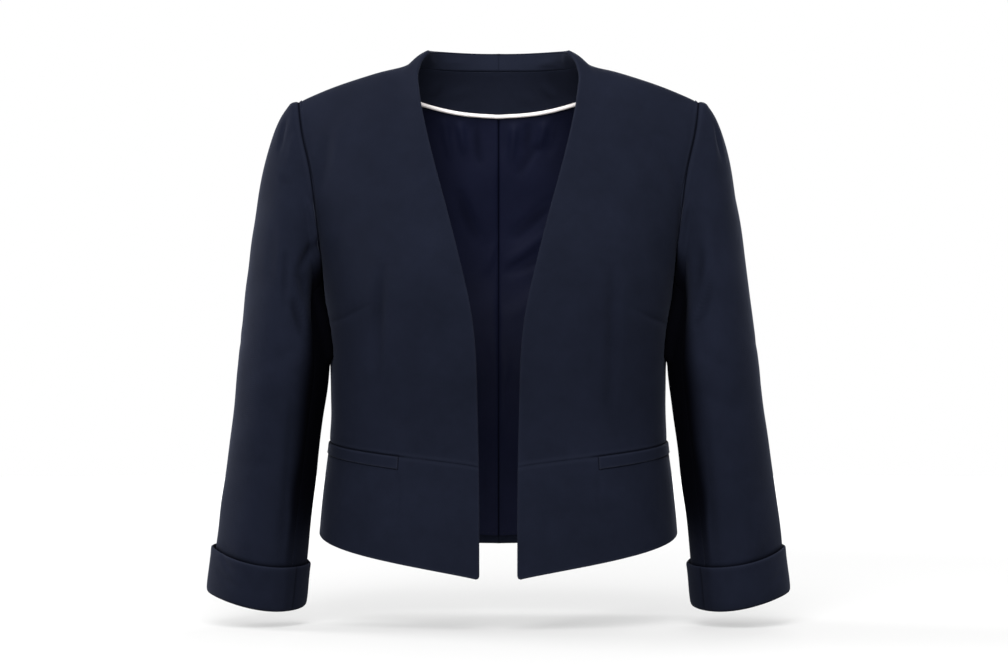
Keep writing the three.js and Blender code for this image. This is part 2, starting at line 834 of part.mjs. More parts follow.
function whole(name, grid, outside, inside, finish) {
  return mesh(name, [grid, mirroredGrid(grid)], outside, inside, finish);
}

const facingSkin = clothWall + facingGap;
const neckFacingSkin = clothWall + neckFacingGap;
const liningSkin = clothWall + liningGap;
const pipingSkin = Math.max(neckFacingSkin + facingWall, liningSkin + liningWall) + pipingGap;
const topSleeve = sleeveGrid(sleeveSeams.back - 360, sleeveSeams.front, sleeveColumns.top);
const underSleeve = sleeveGrid(sleeveSeams.front, sleeveSeams.back, sleeveColumns.under);
const blazer = new THREE.Group();
blazer.add(
  ...pair("front", [frontGrid(), standGrid(0)], 0, clothWall, navy),
  ...pair("front_band", [bandGrid()], 0, clothWall, navy),
  ...pair("back", [backGrid()], 0, clothWall, navy),
  ...pair("top_sleeve", [topSleeve], 0, clothWall, navy),
  ...pair("under_sleeve", [underSleeve], 0, clothWall, navy),
  ...pair("cuff", [cuffGrid()], 0, cuffWall, navy),
  ...pair("pocket_welt", [weltGrid()], -seamGap - welt.wall, -seamGap, navy),
  ...pair("front_facing", facingGrids(), facingSkin, facingSkin + facingWall, navy),
  whole("back_neck_facing", neckFacingGrid(), neckFacingSkin, neckFacingSkin + facingWall, navy),
  ...pair("back_lining", [liningGrid()], liningSkin, liningSkin + liningWall, liningBlue),
  whole("neck_piping", pipingGrid(), pipingSkin, pipingSkin + pipingWall, ivory),
);

export default blazer;
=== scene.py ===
import math
import bpy
import numpy as np
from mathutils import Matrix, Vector


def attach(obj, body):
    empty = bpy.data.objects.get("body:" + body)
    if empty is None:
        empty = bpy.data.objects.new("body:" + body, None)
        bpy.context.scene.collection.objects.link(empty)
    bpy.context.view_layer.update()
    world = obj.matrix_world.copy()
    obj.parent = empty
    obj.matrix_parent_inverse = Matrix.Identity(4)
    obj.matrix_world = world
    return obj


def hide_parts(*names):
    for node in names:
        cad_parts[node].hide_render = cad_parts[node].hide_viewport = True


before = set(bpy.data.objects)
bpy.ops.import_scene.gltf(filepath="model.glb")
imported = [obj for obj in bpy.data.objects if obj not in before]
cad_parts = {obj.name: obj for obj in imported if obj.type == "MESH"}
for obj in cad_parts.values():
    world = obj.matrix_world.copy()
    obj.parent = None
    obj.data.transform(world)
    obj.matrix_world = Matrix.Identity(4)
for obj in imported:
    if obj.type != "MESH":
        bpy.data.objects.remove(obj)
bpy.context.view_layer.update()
print("frame loaded")

# Sizes are in millimetres up to the point where a mesh is made.
# The wearer's left side is built, and the right one is its mirror image with folds of its own.
millimetre = 0.001
meshing = {"samePoint": 0.004, "fineSteps": (0.25, 0.7, 1.3, 2.1, 3.2, 4.6)}

bodyForm = {
    "sideSeamY": 8.0,
    "roundness": 2.4,
    "levelDrop": 220.0,
    "followFade": 0.4,
    "neckAcross": 89.5,
    "neckHeight": 27.0,
    "tipHeight": -11.0,
    "underarmHeight": -212.0,
    "bust": {"across": 90.0, "height": -192.0, "rise": 5.0, "wide": 52.0, "tall": 62.0},
    # distance from the midline, height
    "ridge": [(0, 69), (20, 67), (40, 60), (55, 51.5), (70, 41), (80, 33.4), (89.5, 27), (111.5, 20),
              (129.5, 14.6), (168.5, 1.6), (200, -11)],
    # height, half width
    "widths": [(50, 240), (-11, 228), (-45, 218), (-76, 208), (-110, 198), (-147, 187.5), (-185, 178),
               (-212, 173), (-240, 170), (-268, 168), (-300, 167.2), (-325, 167.4), (-350, 168.9),
               (-375, 171.8), (-400, 175), (-440, 179), (-490, 182)],
    # drop below the shoulder line, front, back
    "depths": [(0, 0, 0), (4, 14, 13), (12, 24.5, 24), (25, 37, 38), (45, 54, 54), (80, 77, 70),
               (120, 98, 84), (160, 113, 91.5), (195, 121, 93), (230, 123, 89), (270, 120, 82),
               (310, 115, 77), (345, 112, 76.5), (380, 113, 83), (430, 117.5, 97), (485, 122, 109)],
    # height, distance of the front edge from the midline
    "frontEdge": [(41, 70), (37.7, 75), (31, 79), (22, 81), (8, 80.3), (-13, 77.2), (-45, 70.5),
                  (-76, 62.6), (-113, 52.5), (-153, 42), (-192, 32.5), (-224, 26), (-250, 22.8),
                  (-306, 20.4), (-371, 19), (-480, 18.3)],
    # height, armhole on the front, armhole on the back
    "armhole": [(-11, 200, 200), (-45, 195, 195.5), (-76, 187.5, 190), (-110, 182, 186),
                (-147, 178.2, 181.5), (-185, 175, 176.5), (-212, 173, 173)],
    # distance from the midline, height of the seam under the stand
    "neckSeam": [(0, 24), (45, 24.4), (70, 25.4), (82, 26.3), (89.5, 27)],
}


def smoothCurve(table, value=1, key=0):
    rows = sorted((row[key], row[value]) for row in table)
    at = np.array([row[0] for row in rows], float)
    level = np.array([row[1] for row in rows], float)
    last = len(at) - 1
    span = np.diff(at)
    system = np.eye(last + 1)
    wanted = np.zeros(last + 1)
    for i in range(1, last):
        system[i, i - 1:i + 2] = span[i - 1], 2 * (span[i - 1] + span[i]), span[i]
        wanted[i] = 6 * ((level[i + 1] - level[i]) / span[i] - (level[i] - level[i - 1]) / span[i - 1])
    bend = np.linalg.solve(system, wanted)

    def curve(where):
        where = np.clip(where, at[0], at[-1])
        i = np.clip(np.searchsorted(at, where, side="right") - 1, 0, last - 1)
        a = (at[i + 1] - where) / span[i]
        b = 1 - a
        curl = ((a ** 3 - a) * bend[i] + (b ** 3 - b) * bend[i + 1]) * span[i] ** 2 / 6
        return a * level[i] + b * level[i + 1] + curl

    return curve


def blend(a, b, share):
    return a + (b - a) * share


ridgeHeight = smoothCurve(bodyForm["ridge"])
halfWidth = smoothCurve(bodyForm["widths"])
edgeAcross = smoothCurve(bodyForm["frontEdge"])
neckHeight = smoothCurve(bodyForm["neckSeam"])
rooted = [(math.sqrt(drop), front, back) for drop, front, back in bodyForm["depths"]]
depthOf = {"front": smoothCurve(rooted, 1), "back": smoothCurve(rooted, 2)}
armholeOf = {"front": smoothCurve(bodyForm["armhole"], 1), "back": smoothCurve(bodyForm["armhole"], 2)}


def levelAt(across, height):
    ridge = ridgeHeight(across)
    drop = np.maximum(ridge - height, 0)
    t = np.clip(drop / bodyForm["levelDrop"], 0, 1)
    return np.maximum(drop - ridge * t ** 3 * (t * (t * 6 - 15) + 10), 0)


def skinPoint(face, angle, height):
    share = np.clip(np.sin(angle), 0, 1)
    across = halfWidth(height) * share
    rounding = np.maximum(1 - share ** bodyForm["roundness"], 0) ** (1 / bodyForm["roundness"])
    depth = depthOf[face](np.sqrt(levelAt(across, height))) * rounding
    if face == "front":
        bust = bodyForm["bust"]
        wide = (across - bust["across"]) / bust["wide"]
        tall = (height - bust["height"]) / bust["tall"]
        depth = depth + bust["rise"] * np.exp(-wide ** 2 - tall ** 2)
    way = -1 if face == "front" else 1
    return np.stack(np.broadcast_arrays(across, bodyForm["sideSeamY"] + way * depth, height), axis=-1)


def angleAt(across, height):
    return np.arcsin(np.clip(across / halfWidth(height), 0, 1))


def skinAt(face, across, height):
    return skinPoint(face, angleAt(across, height), height)


def sideAcross(face, height):
    return np.where(height > bodyForm["underarmHeight"], armholeOf[face](height), halfWidth(height))


def panelOf(face, rows, edgeOf, line, lowBend):
    edge, side = smoothCurve(rows, 1), smoothCurve(rows, 2)
    return {"face": face, "edge": edge, "side": side, "edgeOf": edgeOf, "line": line, "lowBend": lowBend,
            "first": (rows[0][1], rows[0][2])}


# A row of a panel runs from the inner edge to the side, and the top row follows a given line.
def panelPoint(panel, u, v):
    edge, side = panel["edge"](v), panel["side"](v)
    return rowPoint(panel["face"], u, edge, side, blend(1, panel["lowBend"], v), panel["edgeOf"](edge),
                    np.maximum(1 - v / bodyForm["followFade"], 0) ** 2, panel["line"], panel["first"])


def rowPoint(face, u, edge, side, bend, edgeX, follow=None, line=None, first=None):
    sideX = sideAcross(face, side)
    start, end = angleAt(edgeX, edge), angleAt(sideX, side)
    angle = blend(start, end, u)
    bent = blend(edge, side, u ** bend)
    height = bent
    if line is not None:
        for settle in range(12):
            across = halfWidth(height) * np.sin(angle)
            along = (across - edgeX) / (sideX - edgeX)
            followed = blend(edge, side, along) + line(across) - blend(first[0], first[1], along)
            height = blend(bent, followed, follow)
    return skinPoint(face, angle, height)


def shareAcross(panel, v, across, height):
    edge, side = panel["edge"](v), panel["side"](v)
    start = angleAt(panel["edgeOf"](edge), edge)
    end = angleAt(sideAcross(panel["face"], side), side)
    return float((angleAt(across, height) - start) / (end - start))


# Shares that give even steps on the cloth, with fine ones beside the stops.
def stations(place, stops, step):
    t = np.linspace(stops[0][0], stops[-1][0], 4001)
    t = stops[0][0] + (t - stops[0][0]) ** 2 / (stops[-1][0] - stops[0][0])
    points = place(t)
    arc = np.concatenate([[0], np.cumsum(np.linalg.norm(np.diff(points, axis=0), axis=1))])
    marks = {}
    for share, before, after in stops:
        here = float(np.interp(share, t, arc))
        marks[here] = share
        for fine in meshing["fineSteps"]:
            if before:
                marks.setdefault(here - fine, None)
            if after:
                marks.setdefault(here + fine, None)
    lows = sorted(marks)
    shares = []
    for low, high in zip(lows, lows[1:]):
        count = max(1, round((high - low) / step))
        for k in range(count):
            at = blend(low, high, k / count)
            shares.append(marks[low] if k == 0 and marks[low] is not None else float(np.interp(at, arc, t)))
    shares.append(marks[lows[-1]])
    return np.array(shares)


# A grid of points with the distances to its four borders, and its place on the flat cloth.
def gridOf(place, us, vs):
    u, v = np.meshgrid(us, vs)
    points = place(u, v)
    across = np.linalg.norm(np.diff(points, axis=1), axis=2)
    down = np.linalg.norm(np.diff(points, axis=0), axis=2)
    left = np.concatenate([np.zeros((len(vs), 1)), np.cumsum(across, axis=1)], axis=1)
    top = np.concatenate([np.zeros((1, len(us))), np.cumsum(down, axis=0)], axis=0)
    return {"u": u, "v": v, "p": points, "left": left, "right": left[:, -1:] - left, "top": top,
            "bottom": top[-1:] - top, "out": np.zeros(u.shape), "in": np.zeros(u.shape),
            "wear": np.zeros(u.shape),
            "innerWear": np.zeros(u.shape), "shade": np.zeros(u.shape),
            "uv": np.stack([left - left[:, -1:] / 2, -top], axis=-1)}


foldGain = 1.5


# Soft troughs and ridges along short curved paths on a piece, by two of its measures.
def foldField(first, second, folds):
    total = np.zeros(first.shape)
    steps = np.linspace(0, 1, 15)
    for path, wide, deep in folds:
        start, middle, end = (np.array(place, float) for place in path)
        bend = 2 * middle - (start + end) / 2
        t = steps[:, None]
        line = (1 - t) ** 2 * start + 2 * t * (1 - t) * bend + t ** 2 * end
        nearest = np.full(first.shape, 1e9)
        along = np.zeros(first.shape)
        for k in range(len(line) - 1):
            a, b = line[k], line[k + 1]
            reach = b - a
            s = ((first - a[0]) * reach[0] + (second - a[1]) * reach[1]) / (reach @ reach)
            s = np.clip(s, 0, 1)
            gap = np.hypot(first - a[0] - s * reach[0], second - a[1] - s * reach[1])
            closer = gap < nearest
            nearest = np.where(closer, gap, nearest)
            along = np.where(closer, (k + s) / (len(line) - 1), along)
        q = nearest / wide
        ends = np.sin(np.pi * np.clip(along, 0.02, 0.98)) ** 0.8
        total -= foldGain * deep * ends * (1 - 0.55 * q ** 2) * np.exp(-q ** 2)
    return total


# Slow unevenness of worn cloth, the same on each run.
def cloudField(first, second, size, seed):
    source = np.random.RandomState(seed)
    total = np.zeros(first.shape)
    for wave in range(7):
        turn = source.uniform(0, math.pi)
        length = source.uniform(32, 140)
        phase = source.uniform(0, 2 * math.pi)
        run = (first * math.cos(turn) + second * math.sin(turn)) * 2 * math.pi / length
        total += np.sin(run + phase) * length / 150
    return total * size / 3


seamLook = {"deep": 0.55, "wide": 1.1, "softDeep": 0.45, "softWide": 5.0, "shadeWide": 0.8, "shade": 0.75}


# The turn of the cloth into a seam, and round a free edge of a given half thickness.
def seamDip(distance, share=1.0):
    sharp = seamLook["deep"] * np.exp(-(distance / seamLook["wide"]) ** 2)
    soft = seamLook["softDeep"] * np.exp(-(distance / seamLook["softWide"]) ** 2)
    return -(sharp + soft) * share


def seamShade(g, distance, share=1.0):
    g["shade"] = np.maximum(g["shade"], seamLook["shade"] * share * near(distance, seamLook["shadeWide"]))


# Less light reaches the bottom of a trough.
def creaseShade(g, field, share):
    g["shade"] = np.maximum(g["shade"], share * np.clip(-field / 3, 0, 1))


def edgeTurn(distance, radius):
    inside = np.clip(radius - distance, 0, radius)
    return -(radius - np.sqrt(np.maximum(radius ** 2 - inside ** 2, 0))) * (1 - 0.06)


def near(distance, reach):
    return np.exp(-(distance / reach) ** 2)


def weld(grids):
    points = np.concatenate([g["p"].reshape(-1, 3) for g in grids])
    keys = np.round(points / meshing["samePoint"]).astype(np.int64)
    unused, first, number = np.unique(keys, axis=0, return_index=True, return_inverse=True)
    number = number.reshape(-1)
    quads = []
    start = 0
    for g in grids:
        count = g["u"].size
        index = number[start:start + count].reshape(g["u"].shape)
        quads.append(np.stack([index[:-1, :-1], index[:-1, 1:], index[1:, 1:], index[1:, :-1]],
                              axis=-1).reshape(-1, 4))
        start += count
    return points[first], first, quads


def faceNormals(points, quads):
    return np.cross(points[quads[:, 2]] - points[quads[:, 0]], points[quads[:, 3]] - points[quads[:, 1]])


def pointNormals(points, quads):
    each = faceNormals(points, quads)
    total = np.zeros(points.shape)
    for corner in range(4):
        np.add.at(total, quads[:, corner], each)
    return total / np.maximum(np.linalg.norm(total, axis=1, keepdims=True), 1e-12)


def bodyCentre(points):
    return np.stack([np.zeros(len(points)), np.full(len(points), bodyForm["sideSeamY"]), points[:, 2]],
                    axis=-1)


# A closed cloth from welded grids: two skins at the grids' own offsets, joined round the rim.
def clothShell(name, grids, side, centre, finish, flatMiddle=False):
    points, first, parts = weld(grids)
    faces = []
    for quads in parts:
        middle = points[quads].mean(axis=1)
        towards = (faceNormals(points, quads) * (middle - centre(middle))).sum()
        faces.append(quads if towards > 0 else quads[:, ::-1])
    quads = np.concatenate(faces)
    normals = pointNormals(points, quads)
    if flatMiddle:
        middle = np.abs(points[:, 0]) < 0.01
        normals[middle, 0] = 0
        normals /= np.linalg.norm(normals, axis=1, keepdims=True)
    pick = {key: np.concatenate([g[key].reshape(-1, *g[key].shape[2:]) for g in grids])[first]
            for key in ("out", "in", "wear", "innerWear", "shade", "uv")}
    outer = points + normals * pick["out"][:, None]
    inner = points + normals * np.minimum(pick["in"], pick["out"] - 0.25)[:, None]
    count = len(points)
    heads = quads.reshape(-1)
    tails = np.roll(quads, -1, axis=1).reshape(-1)
    forward = heads.astype(np.int64) * count + tails
    backward = tails.astype(np.int64) * count + heads
    rim = ~np.isin(backward, forward)
    border = np.stack([heads[rim], heads[rim] + count, tails[rim] + count, tails[rim]], axis=-1)
    allFaces = np.concatenate([quads, quads[:, ::-1] + count, border])
    vertices = np.concatenate([outer, inner])
    if side < 0:
        vertices[:, 0] *= -1
        allFaces = allFaces[:, ::-1]
    return meshPiece(name, vertices, allFaces, finish, np.concatenate([pick["uv"]] * 2),
                     np.concatenate([pick["wear"], pick["innerWear"]]), np.concatenate([pick["shade"]] * 2))


def meshPiece(name, vertices, faces, finish, flat=None, wear=None, shade=None):
    mesh = bpy.data.meshes.new(name)
    mesh.from_pydata((vertices * millimetre).tolist(), [], faces.tolist())
    if flat is not None:
        corner = np.empty(len(mesh.loops), np.int32)
        mesh.loops.foreach_get("vertex_index", corner)
        layer = mesh.uv_layers.new(name="cloth")
        layer.data.foreach_set("uv", (flat[corner] * millimetre).reshape(-1).astype(np.float32))
    for title, values in (("wear", wear), ("shade", shade)):
        if values is not None:
            layer = mesh.attributes.new(title, "FLOAT", "POINT")
            layer.data.foreach_set("value", np.clip(values, 0, 1).astype(np.float32))
    mesh.polygons.foreach_set("use_smooth", np.ones(len(mesh.polygons), bool))
    mesh.materials.append(finish)
    mesh.validate()
    mesh.update()
    piece = bpy.data.objects.new(name, mesh)
    bpy.context.scene.collection.objects.link(piece)
    return piece


def declare(piece, nodes):
    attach(piece, "root")
    if nodes:
        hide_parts(*nodes)


# Finishes

def nodeMaker(material):
    tree = material.node_tree

    def make(kind, inputs=(), **settings):
        node = tree.nodes.new(kind)
        for key, value in settings.items():
            setattr(node, key, value)
        for key, value in dict(inputs).items():
            if isinstance(value, bpy.types.NodeSocket):
                tree.links.new(value, node.inputs[key])
            else:
                node.inputs[key].default_value = value
        return node

    return make


def mixColours(make, share, first, second):
    return make("ShaderNodeMix", {0: share, 6: first, 7: second}, data_type="RGBA").outputs[2]


# Cloth with a woven or crepe relief, slow changes of colour, a lighter colour beside seams, along edges (partly
# wear, partly painted highlight) and as painted light inside the facings, and painted shade, which also dims
# gloss.
def clothMaterial(name, look):
    material = bpy.data.materials.new(name)
    material.use_nodes = True
    material.node_tree.nodes.clear()
    make = nodeMaker(material)
    flat = make("ShaderNodeUVMap", uv_map="cloth").outputs["UV"]
    place = make("ShaderNodeTexCoord").outputs["Object"]
    ribs = []
    for turn, step in (("twillTurn", "twillStep"), ("crossTurn", "crossStep")):
        turned = make("ShaderNodeMapping", {"Vector": flat, "Rotation": (0, 0, math.radians(look[turn]))})
        ribs.append(make("ShaderNodeTexWave", {
            "Vector": turned.outputs[0], "Scale": 0.314 / look[step], "Distortion": look["wander"],
            "Detail": 1.0, "Detail Scale": 2.0}).outputs["Fac"])
    crepe = make("ShaderNodeTexNoise", {"Vector": flat, "Scale": look["crepeScale"], "Detail": 3.0,
                                        "Roughness": 0.6})
    cloud = make("ShaderNodeTexNoise", {"Vector": place, "Scale": look["cloudScale"], "Detail": 6.0,
                                        "Roughness": look["cloudRoughness"]})
    weave = make("ShaderNodeMath", {0: ribs[0], 1: ribs[1]}, operation="MULTIPLY").outputs[0]
    relief = make("ShaderNodeMath", {0: weave, 1: crepe.outputs["Fac"]}, operation="ADD").outputs[0]
    slow = make("ShaderNodeMapRange", {"Value": cloud.outputs["Fac"], "From Min": 0.32, "From Max": 0.68})
    ground = mixColours(make, slow.outputs[0], look["shade"] + (1,), look["colour"] + (1,))
    fleck = make("ShaderNodeMapRange", {"Value": relief, "From Min": 0.4, "From Max": 1.3,
                                        "To Max": look["fleck"]})
    flecked = mixColours(make, fleck.outputs[0], ground, look["fleckColour"] + (1,))
    # A lighter colour: partly wear, partly painted highlight, and painted light inside the facings.
    wear = make("ShaderNodeAttribute", attribute_name="wear").outputs["Fac"]
    wearAndPaintedLightShare = make("ShaderNodeMath", {0: wear, 1: look["wear"]}, operation="MULTIPLY").outputs[0]
    wornAndPaintedLight = mixColours(make, wearAndPaintedLightShare, flecked, look["wornColour"] + (1,))
    # Painted shade: a mix towards near-black.
    shade = make("ShaderNodeAttribute", attribute_name="shade").outputs["Fac"]
    colour = mixColours(make, shade, wornAndPaintedLight, look["deepColour"] + (1,))
    rough = make("ShaderNodeMapRange", {
        "Value": crepe.outputs["Fac"], "From Min": 0.3, "From Max": 0.7,
        "To Min": look["roughness"][0], "To Max": look["roughness"][1]})
    bump = make("ShaderNodeBump", {"Height": relief, "Strength": look["bump"], "Distance": look["bumpDepth"]})
    lit = make("ShaderNodeMath", {0: 1.0, 1: shade}, operation="SUBTRACT").outputs[0]
    gloss = make("ShaderNodeMath", {0: lit, 1: look["specular"]}, operation="MULTIPLY").outputs[0]
    fuzz = make("ShaderNodeMath", {0: lit, 1: look["sheen"]}, operation="MULTIPLY").outputs[0]
    shader = make("ShaderNodeBsdfPrincipled", {
        "Base Color": colour, "Roughness": rough.outputs[0], "Normal": bump.outputs[0],
        "Specular IOR Level": gloss, "Sheen Weight": fuzz,
        "Sheen Roughness": look["sheenRoughness"], "Sheen Tint": look["sheenTint"] + (1,)})
    make("ShaderNodeOutputMaterial", {"Surface": shader.outputs[0]})
    return material


# Each look has a lighter colour for wear, painted highlight and painted light, and a near-black for painted
# shade.
outerLook = {
    "colour": (0.005, 0.0063, 0.0127), "shade": (0.003, 0.0039, 0.008),
    "fleckColour": (0.0078, 0.0097, 0.0176),
    "wornColour": (0.016, 0.019, 0.032), "fleck": 0.5, "wear": 0.5, "twillTurn": 32, "crossTurn": -58,
    "twillStep": 0.0009, "crossStep": 0.0013, "wander": 1.4, "crepeScale": 1500, "cloudScale": 13,
    "cloudRoughness": 0.78,
    "deepColour": (0.0006, 0.0006, 0.001), "roughness": (0.8, 0.95), "bump": 0.35, "bumpDepth": 0.0002,
    "specular": 0.03, "sheen": 0.045,
    "sheenRoughness": 0.35, "sheenTint": (0.62, 0.7, 1.0),
}
liningLook = {
    "colour": (0.0051, 0.0062, 0.0168), "shade": (0.0034, 0.0043, 0.0124),
    "fleckColour": (0.007, 0.0085, 0.024),
    "wornColour": (0.02, 0.023, 0.05), "fleck": 0.35, "wear": 0.3, "twillTurn": 0, "crossTurn": 90,
    "twillStep": 0.0004, "crossStep": 0.0009, "wander": 0.6, "crepeScale": 2400, "cloudScale": 16,
    "cloudRoughness": 0.62,
    "deepColour": (0.0005, 0.0006, 0.0015), "roughness": (0.52, 0.64), "bump": 0.12, "bumpDepth": 0.00012,
    "specular": 0.035, "sheen": 0.0,
    "sheenRoughness": 0.3, "sheenTint": (0.6, 0.65, 1.0),
}
pipingLook = {
    "colour": (0.8, 0.75, 0.74), "shade": (0.68, 0.63, 0.62), "fleckColour": (0.88, 0.85, 0.83),
    "wornColour": (0.42, 0.39, 0.37), "fleck": 0.5, "wear": 0.2, "twillTurn": 45, "crossTurn": -45,
    "twillStep": 0.0006, "crossStep": 0.0008, "wander": 0.8, "crepeScale": 1800, "cloudScale": 60,
    "cloudRoughness": 0.62,
    "deepColour": (0.1, 0.09, 0.08), "roughness": (0.42, 0.55), "bump": 0.2, "bumpDepth": 0.00015,
    "specular": 0.4, "sheen": 0.1,
    "sheenRoughness": 0.3, "sheenTint": (1.0, 1.0, 1.0),
}
outerCloth = clothMaterial("outer_cloth", outerLook)
liningCloth = clothMaterial("lining_satin", liningLook)
pipingCloth = clothMaterial("piping_satin", pipingLook)


def threadMaterial(name, colour, rough):
    material = bpy.data.materials.new(name)
    material.use_nodes = True
    material.node_tree.nodes.clear()
    make = nodeMaker(material)
    place = make("ShaderNodeTexCoord").outputs["Object"]
    twist = make("ShaderNodeTexWave", {"Vector": place, "Scale": 700.0, "Distortion": 2.0},
                 bands_direction="DIAGONAL")
    dark = tuple(value * 0.7 for value in colour)
    tint = mixColours(make, twist.outputs["Fac"], dark + (1,), colour + (1,))
    bump = make("ShaderNodeBump", {"Height": twist.outputs["Fac"], "Strength": 0.3, "Distance": 0.0001})
    shader = make("ShaderNodeBsdfPrincipled", {"Base Color": tint, "Roughness": rough,
                                               "Normal": bump.outputs[0],
                                               "Specular IOR Level": 0.3})
    make("ShaderNodeOutputMaterial", {"Surface": shader.outputs[0]})
    return material


navyThread = threadMaterial("navy_thread", (0.0046, 0.0056, 0.0115), 0.8)
print("materials made")

# The fronts with their grown-on stands

frontPiece = {
    "step": 1.9,
    "wall": 1.8,
    "edgeWall": 3.4,
    "edgeTuck": 2.6,
    "standTuck": 0.12,
    "standRound": 1.6,
    "padding": 1.0,
    # share, height at the inner edge, height at the side
    "rows": [(0, 41, -11), (0.08, 24, -38), (0.2, -14, -80), (0.35, -80, -138), (0.55, -180, -212),
             (0.78, -278, -284), (1, -373, -350)],
    "waistBend": 0.75,
    # share, distance from the midline, distance back, height of the stand's free edge
    "standEdge": [(0, 70, 8, 41), (0.22, 66.5, 25, 41.5), (0.42, 57, 40, 41.7), (0.62, 41, 52, 41.5),
                  (0.82, 20, 59.5, 41.1), (1, 0, 62, 41)],
    "cloud": 0.8,
    # path by distance from the midline and height, half width, depth
    "foldsLeft": [(((109, -170), (111, -236), (109, -330)), 7.5, 1.9),
                  (((154, -58), (172, -80), (181, -122)), 9, 1.5),
                  (((128, -20), (140, -34), (158, -44)), 10, -0.6),
                  (((150, -140), (158, -160), (160, -190)), 9, 0.6),
                  (((60, -200), (52, -240), (50, -290)), 12, 0.45),
                  (((140, -262), (146, -300), (142, -340)), 9, 0.5),
                  (((96, -20), (104, 0), (112, 12)), 9, 0.5),
                  (((84, -60), (78, -95), (66, -130)), 14, -0.5)],
    "foldsRight": [(((110, -172), (116.5, -228), (118.5, -300)), 6.5, 2.2),
                   (((166, -46), (174, -76), (179, -112)), 9, 1.7),
                   (((152, -30), (160, -52), (163, -80)), 8, -0.6),
                   (((150, -130), (160, -158), (162, -186)), 9, 0.7),
                   (((64, -190), (56, -235), (58, -300)), 12, 0.5),
                   (((142, -250), (148, -296), (146, -335)), 8, 0.6),
                   (((98, -8), (108, 8), (116, 14)), 9, 0.45),
                   (((80, -52), (72, -90), (60, -128)), 14, -0.5)],
    "dartLeft": ((167.5, -234.2), (150.5, -228.4), (127, -216.6)),
    "dartRight": ((166.3, -232.4), (148.4, -226.4), (123.5, -214.2)),
}
frontPanel = panelOf("front", frontPiece["rows"], edgeAcross, ridgeHeight, frontPiece["waistBend"])
backTop = lambda across: np.where(across < bodyForm["neckAcross"], neckHeight(across), ridgeHeight(across))
backPiece = {
    "step": 2.5,
    "wall": 1.8,
    # share, height at the centre back, height at the side
    "rows": [(0, 24, -11), (0.1, -20, -50), (0.25, -92, -116), (0.48, -206, -212), (0.75, -335, -326),
             (1, -460, -441.5)],
    "hemWall": 2.8,
    "hemBend": 1.7,
    "cloud": 0.9,
    "foldsLeft": [(((88, -180), (90, -265), (84, -372)), 9, 1.3),
                  (((172, -150), (150, -128), (118, -120)), 12, 1.2),
                  (((168, -196), (146, -168), (120, -156)), 9, 0.8),
                  (((120, -30), (112, -70), (116, -110)), 15, 0.6),
                  (((20, 8), (34, -6), (62, -10)), 7, 0.5),
                  (((160, -296), (130, -300), (104, -318)), 9, 0.8),
                  (((150, -330), (120, -336), (96, -356)), 8, 0.6),
                  (((30, -290), (44, -318), (40, -352)), 10, 0.5)],
    "foldsRight": [(((90, -176), (87, -262), (88, -360)), 9, 1.3),
                   (((172, -142), (148, -124), (122, -118)), 12, 1.1),
                   (((169, -200), (148, -176), (116, -160)), 9, 0.9),
                   (((124, -34), (114, -76), (112, -118)), 15, 0.5),
                   (((24, 10), (38, -2), (66, -4)), 7, 0.4),
                   (((158, -306), (132, -304), (100, -312)), 9, 0.7),
                   (((148, -340), (124, -348), (98, -352)), 8, 0.6),
                   (((26, -300), (38, -326), (46, -350)), 10, 0.5)],
}
backPanel = panelOf("back", backPiece["rows"], lambda height: 0 * height, backTop, backPiece["hemBend"])
frontNeckShare = shareAcross(frontPanel, 0.0, bodyForm["neckAcross"], bodyForm["neckHeight"])
backNeckShare = shareAcross(backPanel, 0.0, bodyForm["neckAcross"], bodyForm["neckHeight"])
standEdgeOf = [smoothCurve(frontPiece["standEdge"], column) for column in (1, 2, 3)]


def frontPoint(u, v):
    return panelPoint(frontPanel, u, v)


def backPoint(u, v):
    return panelPoint(backPanel, u, v)


def standPoint(u, share, short=0.0):
    shoulder = frontPoint(u * frontNeckShare, 0 * share)
    top = np.stack(np.broadcast_arrays(*(of(share) for of in standEdgeOf)), axis=-1)
    top[..., 0] = np.where(share >= 1, 0, top[..., 0])
    seam = backPoint((1 - share) * backNeckShare, 0 * share)
    first, last = frontPoint(np.array(0.0), np.array(0.0)), frontPoint(np.array(frontNeckShare),
                                                                       np.array(0.0))
    sag = (shoulder - blend(first, last, u[..., None])) * ((1 - share) ** 2)[..., None]
    opened = np.minimum(share * 12, 1)
    return blend(top, seam, (u * (1 - short * opened))[..., None]) + sag


frontShares = stations(lambda u: frontPoint(u, 0 * u + 0.3),
                       [(0, False, True), (frontNeckShare, True, False), (1, True, False)],
                       frontPiece["step"])
frontDown = stations(lambda v: frontPoint(0 * v + 0.5, v), [(0, False, True), (1, True, False)],
                     frontPiece["step"])
standShares = frontShares[frontShares <= frontNeckShare + 1e-9] / frontNeckShare
standShares = np.append(standShares, 1 + frontPiece["standTuck"])
standAround = stations(lambda s: standPoint(0 * s + 0.5, s), [(0, False, False), (1, True, False)],
                       frontPiece["step"])


def freeEdge(g, distance, piece):
    turn = edgeTurn(distance, piece["edgeWall"] / 2)
    tucked = np.clip((piece["edgeTuck"] - distance) / 0.6, 0, 1)
    wall = blend(piece["wall"], piece["edgeWall"], tucked * tucked * (3 - 2 * tucked))
    g["out"] += turn
    g["in"] += -wall - turn
    # The rolled edge is lighter in colour: partly wear, partly painted highlight.
    g["wear"] += near(distance, 1.6) * 0.25


def darts(first, second, path):
    return foldField(first, second, [(path, 1.7, 0.5), (path, 5.5, 0.4)])


# The waist seam lies flatter between the pockets than over them.
def waistQuiet(across):
    return blend(0.2, 1.0, np.clip((across - 88) / 12, 0, 1))


# The padding lifts the middle of the shoulder a little.
def shoulderLift(g):
    along = np.clip((g["p"][..., 0] - bodyForm["neckAcross"] - 4) / 104, 0, 1)
    return frontPiece["padding"] * np.sin(np.pi * along) * near(g["top"], 32)


